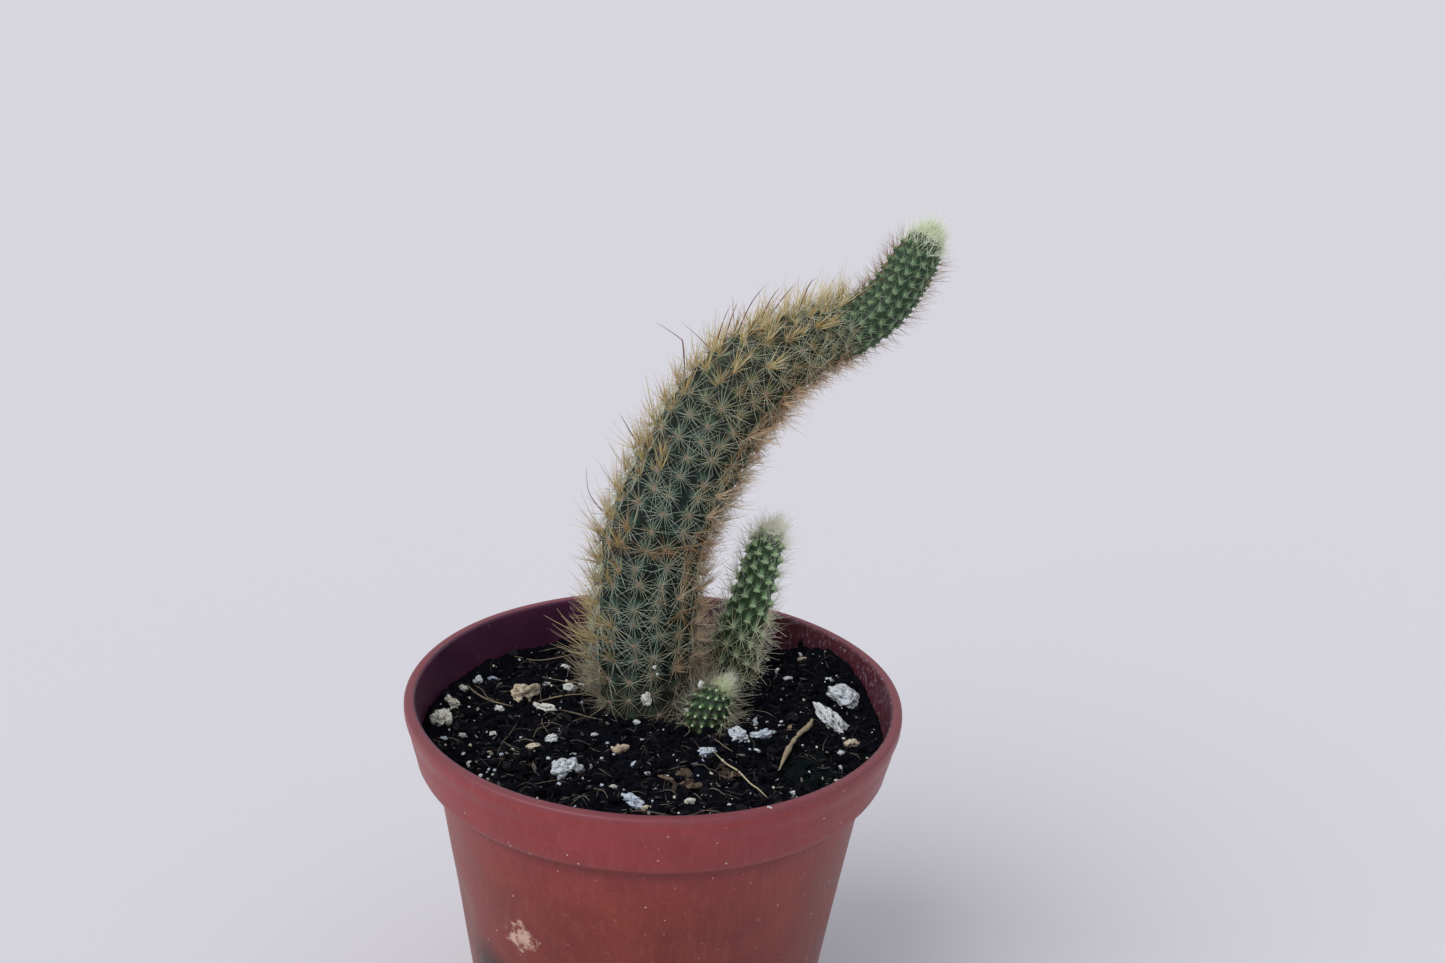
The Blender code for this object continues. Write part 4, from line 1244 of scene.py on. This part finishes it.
pale_spine = cactus_spine("pale_cactus_spine", PALE_TONES, "#a08d78", "#c0c5b8", "#8b8677")
golden_spine = cactus_spine("golden_cactus_spine", GOLD_TONES, "#b0945a", "#d2c6b4", "#a29a88", down=0.1)
# The tan brush's colours are a real tan painted brighter than this light shows it: a painted glow for
# light shining through from behind
tan_spine = cactus_spine("tan_cactus_spine_painted_glow", TAN_GLOW_TONES, "#bf9470", "#e2d6c6", "#9c8a72", down=0.3)
new_piece("main_radial_spines", radials, pale_spine)
new_piece("main_golden_brush", golden_brush, golden_spine)
new_piece("main_tan_brush_painted_glow", tan_brush, tan_spine)
new_piece("main_areole_felt", cushion_felt, felt("brown_areole_felt", "#7f6c60", "#ab9586"))
new_piece("main_fresh_felt", fresh_felt, felt("fresh_areole_felt", "#61775b", "#819676"))


# Tufts: the tip of each stem is covered by the soft hairs of areoles that haven't spread yet, which point
# along the stem and hide its growing point. Real hairs are finer, and are drawn so that they show.
HAIR_WIDTH = 0.12 * MM
# Each tuft is its number of wisps, its depth and spread, the lengths and tone of its hairs, and their aim
MAIN_TUFT = (230, 5.0 * MM, 0.45, (1.6 * MM, 3.4 * MM), 0.1, (0, 0, 0))
SUNFLOWER_TURN = math.radians(137.5)
WISP_HAIRS = 3
WOOL_SHARE = 0.38
WOOL_WIDTHS = (0.6 * MM, 1.0 * MM)
HAIR_TONES = [(0.0, "#f4f5ec"), (0.35, "#e6ecd0"), (0.65, "#d9e0ae"), (1.0, "#c0b07c")]


def tuft(bm, wool_bm, rng, axis, lengths, count, depth, spread, hair_lengths, tone, aim):
    """Stands wisps of hairs and balls of wool on a stem's tip, in the order of a sunflower's seeds."""
    wisps = [star(rng, WISP_HAIRS, (66, 88), hair_lengths, HAIR_WIDTH, (0, 0.4), 0.5) for _ in range(8)]
    for index in range(count):
        length = lengths[-1] - depth * ((index + 0.5) / count) ** 1.3
        centre, right, back, tangent, radius = station(axis, lengths, length)
        reach = radius * dome(length, lengths[-1], radius)
        angle = index * SUNFLOWER_TURN
        out = right * math.cos(angle) + back * math.sin(angle)
        normal = (tangent + out * spread * reach / radius + Vector(aim)).normalized()
        spot = {"place": centre + out * reach * 0.95, "normal": normal, "tangent": right}
        sweep = tangent * rng.uniform(-0.2, 0.8) * MM
        size = rng.uniform(0.8, 1.15) * (1 - 0.55 * index / count)
        plant(bm, rng.choice(wisps), spot, rng.uniform(0, 6), size, 0, sweep, tone + 0.5 * index / count)
        if index < WOOL_SHARE * count:
            plant(wool_bm, rng.choice(cushions), spot, rng.uniform(0, 6), rng.uniform(*WOOL_WIDTHS))


soft_hair = cactus_spine("soft_cactus_hair", HAIR_TONES, "#cdd8b0", "#efefe6", down=0.6)
young_wool = felt("young_areole_wool", "#bcc3a6", "#e0e4cd")
main_wool = bmesh.new()
tuft(fresh_hairs, main_wool, rng, main_axis, main_lengths, *MAIN_TUFT)
new_piece("main_fresh_hairs", fresh_hairs, soft_hair)
new_piece("main_tip_wool", main_wool, young_wool)


# Long dark spines: a few old centrals on the outer side of the bend have grown far past the others.
# They are stiff and brown, and one of them is kinked.

# Each is the x, z points of its route and its width in millimetres
LONG_SPINES = (
    (((9.8, 158.4), (11.2, 164.6), (12.7, 168.7)), 0.34),
    (((11.3, 158.6), (12.9, 164.8), (14.2, 169.2)), 0.36),
    (((13.9, 160.6), (16.8, 168.4), (19.6, 172.4)), 0.36),
    (((18.8, 164.2), (21.0, 170.0), (22.7, 172.8)), 0.32),
    (((20.3, 165.0), (23.4, 170.6), (25.9, 173.3)), 0.34),
    (((26.4, 167.0), (28.6, 172.6), (29.8, 175.2)), 0.32),
    (((3.9, 151.6), (3.2, 159.5), (2.2, 160.6), (-2.8, 163.8)), 0.42),
    (((8.6, 158.6), (6.4, 161.4), (2.4, 164.0)), 0.24),
    (((-6.0, 137.0), (-8.0, 141.6), (-9.6, 143.9)), 0.3),
    (((-12.6, 121.0), (-15.6, 126.0), (-16.4, 131.0)), 0.26),
)
BEND_PLANE = MAIN_AXIS[0][1]
LONG_TONES = [(0.0, "#8d6a5c"), (0.5, "#77524b"), (1.0, "#5c4142")]

rng = random.Random(41)
long_spines = empty_heap("tone")
spine_rod = straight_rod(5, 12)
for points, width in LONG_SPINES:
    route = [Vector((x, BEND_PLANE + rng.uniform(-2.5, 1.0), z)) * MM for x, z in points]
    lay_rod(long_spines, spine_rod, route, width * MM, rng.uniform(0.3, 0.7), taper=0.8)
dark_spine = dead_wood("dark_cactus_spine", LONG_TONES, 2.0 * MM)
new_piece("long_dark_spines", long_spines, dark_spine)


# Tall offset: a young stem at the main one's foot, bright green, with round pale tops on its tubercles.
# Its upper spines are soft cream hairs, sparse in front, and the lower ones have hardened into stars.
TALL_RIBS = 12
TALL_TWIST = 7
TALL_STEP = (0.74, 0.3 * MM)
TALL_FOOT = 77.0 * MM
TALL_FRESH = 26 * MM
TALL_GREENS = [(0.1, "#2b3d22"), (0.5, "#4a6641"), (0.9, "#758f60")]
TALL_FRESH_GREENS = [(0.1, "#384f33"), (0.5, "#587a52"), (0.9, "#8bab7c")]
OFFSET_CORK = "#40382c"
UPPER_STAR = (17, (10, 75), (2.6 * MM, 5.8 * MM), HAIR_WIDTH, (0, 0.3), 0.5)
FACE_STAR = (6, (10, 70), (2.2 * MM, 4.6 * MM), 0.07 * MM, (0, 0.6), 0.5)
LOWER_STAR = (14, (10, 60), (2.8 * MM, 6.2 * MM), 0.17 * MM, (0.1, 0.9), 0.35)
TALL_TUFT = (170, 3.6 * MM, 0.55, (1.8 * MM, 4.4 * MM), -0.35, (0.45, 0, 0))
CREAM_TONES = [(0.0, "#fdfbf0"), (0.35, "#f6f4de"), (0.65, "#e4e3c2"), (1.0, "#cdc49a")]

rng = random.Random(53)
tall_lengths = along(tall_axis)
tall_rows = areole_rows(tall_axis, tall_lengths, TALL_FOOT, TALL_STEP)
young_relief = (YOUNG_RELIEF, YOUNG_RELIEF)
tall_skin = stem_skin(tall_axis, tall_rows, TALL_RIBS, TALL_TWIST, young_relief, TALL_FRESH)
young_skin = cactus_skin("young_cactus_skin", TALL_GREENS, TALL_GREENS, TALL_FRESH_GREENS, OFFSET_CORK)
new_piece("tall_offset_skin", tall_skin, young_skin, "tall_offset")

upper_stars = [star(rng, *UPPER_STAR) for _ in range(10)]
face_stars = [star(rng, *FACE_STAR) for _ in range(8)]
crescents = [wool(rng, 0.5) for _ in range(6)]
lower_stars = [star(rng, *LOWER_STAR) for _ in range(10)]
tall_hairs = bmesh.new()
tall_felt = bmesh.new()
for spot in areoles(tall_axis, tall_rows, TALL_RIBS, TALL_TWIST):
    lower = share_of(spot["left"], 0.6 * TALL_FRESH, 1.15 * TALL_FRESH)
    stars = face_stars if spot["front"] > 0.35 else upper_stars
    if rng.random() < lower:
        stars = lower_stars
    sweep = spot["tangent"] * MM
    shape = rng.choice(stars)
    turn = rng.uniform(0, 6)
    plant(tall_hairs, shape, spot, turn, rng.uniform(0.85, 1.15), 28, sweep, 0.3 * lower)
    plant(tall_felt, rng.choice(crescents), spot, rng.uniform(-0.2, 0.2), (1.75 - 0.6 * lower) * MM)
tall_wool = bmesh.new()
tuft(tall_hairs, tall_wool, rng, tall_axis, tall_lengths, *TALL_TUFT)
cream_hair = cactus_spine("cream_cactus_hair", CREAM_TONES, "#e9e8cc", "#fdfbf0", down=0.6)
new_piece("tall_offset_hairs", tall_hairs, cream_hair)
new_piece("tall_tip_wool", tall_wool, felt("cream_areole_wool", "#efedd4", "#fcfaec"))
new_piece("tall_offset_felt", tall_felt, felt("green_areole_felt", "#86a874", "#c4dbb0"))


# Small offset: a globe-shaped shoot in front of the others, its tubercles packed close together.
# Its areoles are bright dots, its sides carry fine grey hairs, and its crown glows pale yellow-green.
SMALL_RIBS = 14
SMALL_TWIST = 5
SMALL_STEP = (0.34, 0.5 * MM)
SMALL_FOOT = 76.6 * MM
SMALL_FRESH = 22 * MM
SMALL_GREENS = [(0.1, "#192b19"), (0.5, "#315030"), (0.9, "#5d8450")]
SMALL_FRESH_GREENS = [(0.1, "#1c331e"), (0.5, "#375c37"), (0.9, "#6a955a")]
SHORT_STAR = (3, (10, 50), (1.2 * MM, 2.4 * MM), 0.08 * MM, (0, 0.3), 0.5)
SIDE_STAR = (9, (20, 85), (2.6 * MM, 7.0 * MM), 0.11 * MM, (0, 1.0), 0.5)
SMALL_TUFT = (190, 2.1 * MM, 1.0, (1.2 * MM, 4.0 * MM), 0.15, (0.3, -0.2, 0))
GREY_TONES = [(0.0, "#b9baa8"), (0.5, "#a8a791"), (1.0, "#8c7d66")]

small_lengths = along(small_axis)
small_rows = areole_rows(small_axis, small_lengths, SMALL_FOOT, SMALL_STEP)
small_skin = stem_skin(small_axis, small_rows, SMALL_RIBS, SMALL_TWIST, young_relief, SMALL_FRESH)
shoot_skin = cactus_skin("shoot_cactus_skin", SMALL_GREENS, SMALL_GREENS, SMALL_FRESH_GREENS, OFFSET_CORK)
new_piece("small_offset_skin", small_skin, shoot_skin, "small_offset")

short_stars = [star(rng, *SHORT_STAR) for _ in range(8)]
side_stars = [star(rng, *SIDE_STAR) for _ in range(8)]
small_hairs = bmesh.new()
small_felt = bmesh.new()
for spot in areoles(small_axis, small_rows, SMALL_RIBS, SMALL_TWIST):
    stars = side_stars if max(-spot["side"], -spot["front"], spot["side"] - 0.45) > 0.35 else short_stars
    sweep = spot["tangent"] * 0.5 * MM
    plant(small_hairs, rng.choice(stars), spot, rng.uniform(0, 6), rng.uniform(0.8, 1.1), 10, sweep)
    plant(small_felt, rng.choice(cushions), spot, rng.uniform(0, 6), 0.6 * MM)
crown_hairs = bmesh.new()
small_wool = bmesh.new()
tuft(crown_hairs, small_wool, rng, small_axis, small_lengths, *SMALL_TUFT)
grey_hair = cactus_spine("grey_cactus_hair", GREY_TONES, "#8f9a76", "#b4b1a2", down=0.3)
new_piece("small_offset_hairs", small_hairs, grey_hair)
new_piece("small_crown_hairs", crown_hairs, soft_hair)
new_piece("small_crown_wool", small_wool, felt("green_areole_wool", "#a9bb90", "#cfdbb4"))
new_piece("small_offset_felt", small_felt, felt("pale_areole_felt", "#a3bd8c", "#dcebc4"))


# Studio: a plain pale floor that runs far past the picture, an even pale surround, and one wide soft
# light, far away above and to the left, so that it lights the floor evenly. None of it is the object's.
FLOOR_SIZE = 6
FLOOR_COLOUR = "#dfdce0"
SURROUND_COLOUR = (0.9, 0.93, 1.0, 1)
SURROUND_STRENGTH = 0.62
LIGHT_FROM = Vector((-0.7, -0.62, 0.95))
LIGHT_SPREAD = math.radians(50)
LIGHT_STRENGTH = 1.6

floor_bm = bmesh.new()
bmesh.ops.create_grid(floor_bm, x_segments=8, y_segments=8, size=FLOOR_SIZE)
floor_mesh = to_mesh("floor", floor_bm)
floor_finish, floor_shader = new_finish("painted_floor", roughness=0.9, ior=1.5, gloss=0.1)
floor_shader.inputs["Base Color"].default_value = linear(FLOOR_COLOUR)
floor_mesh.materials.append(floor_finish)
floor = bpy.data.objects.new("floor", floor_mesh)
bpy.context.scene.collection.objects.link(floor)

surround = bpy.data.worlds.new("surround")
bpy.context.scene.world = surround
surround.use_nodes = True
background = surround.node_tree.nodes["Background"]
background.inputs["Color"].default_value = SURROUND_COLOUR
background.inputs["Strength"].default_value = SURROUND_STRENGTH
bpy.context.scene.view_settings.view_transform = "Standard"

light_data = bpy.data.lights.new("soft_light", "SUN")
light_data.energy = LIGHT_STRENGTH
light_data.angle = LIGHT_SPREAD
light = bpy.data.objects.new("soft_light", light_data)
light.rotation_euler = (-LIGHT_FROM).to_track_quat("-Z", "Y").to_euler()
bpy.context.scene.collection.objects.link(light)
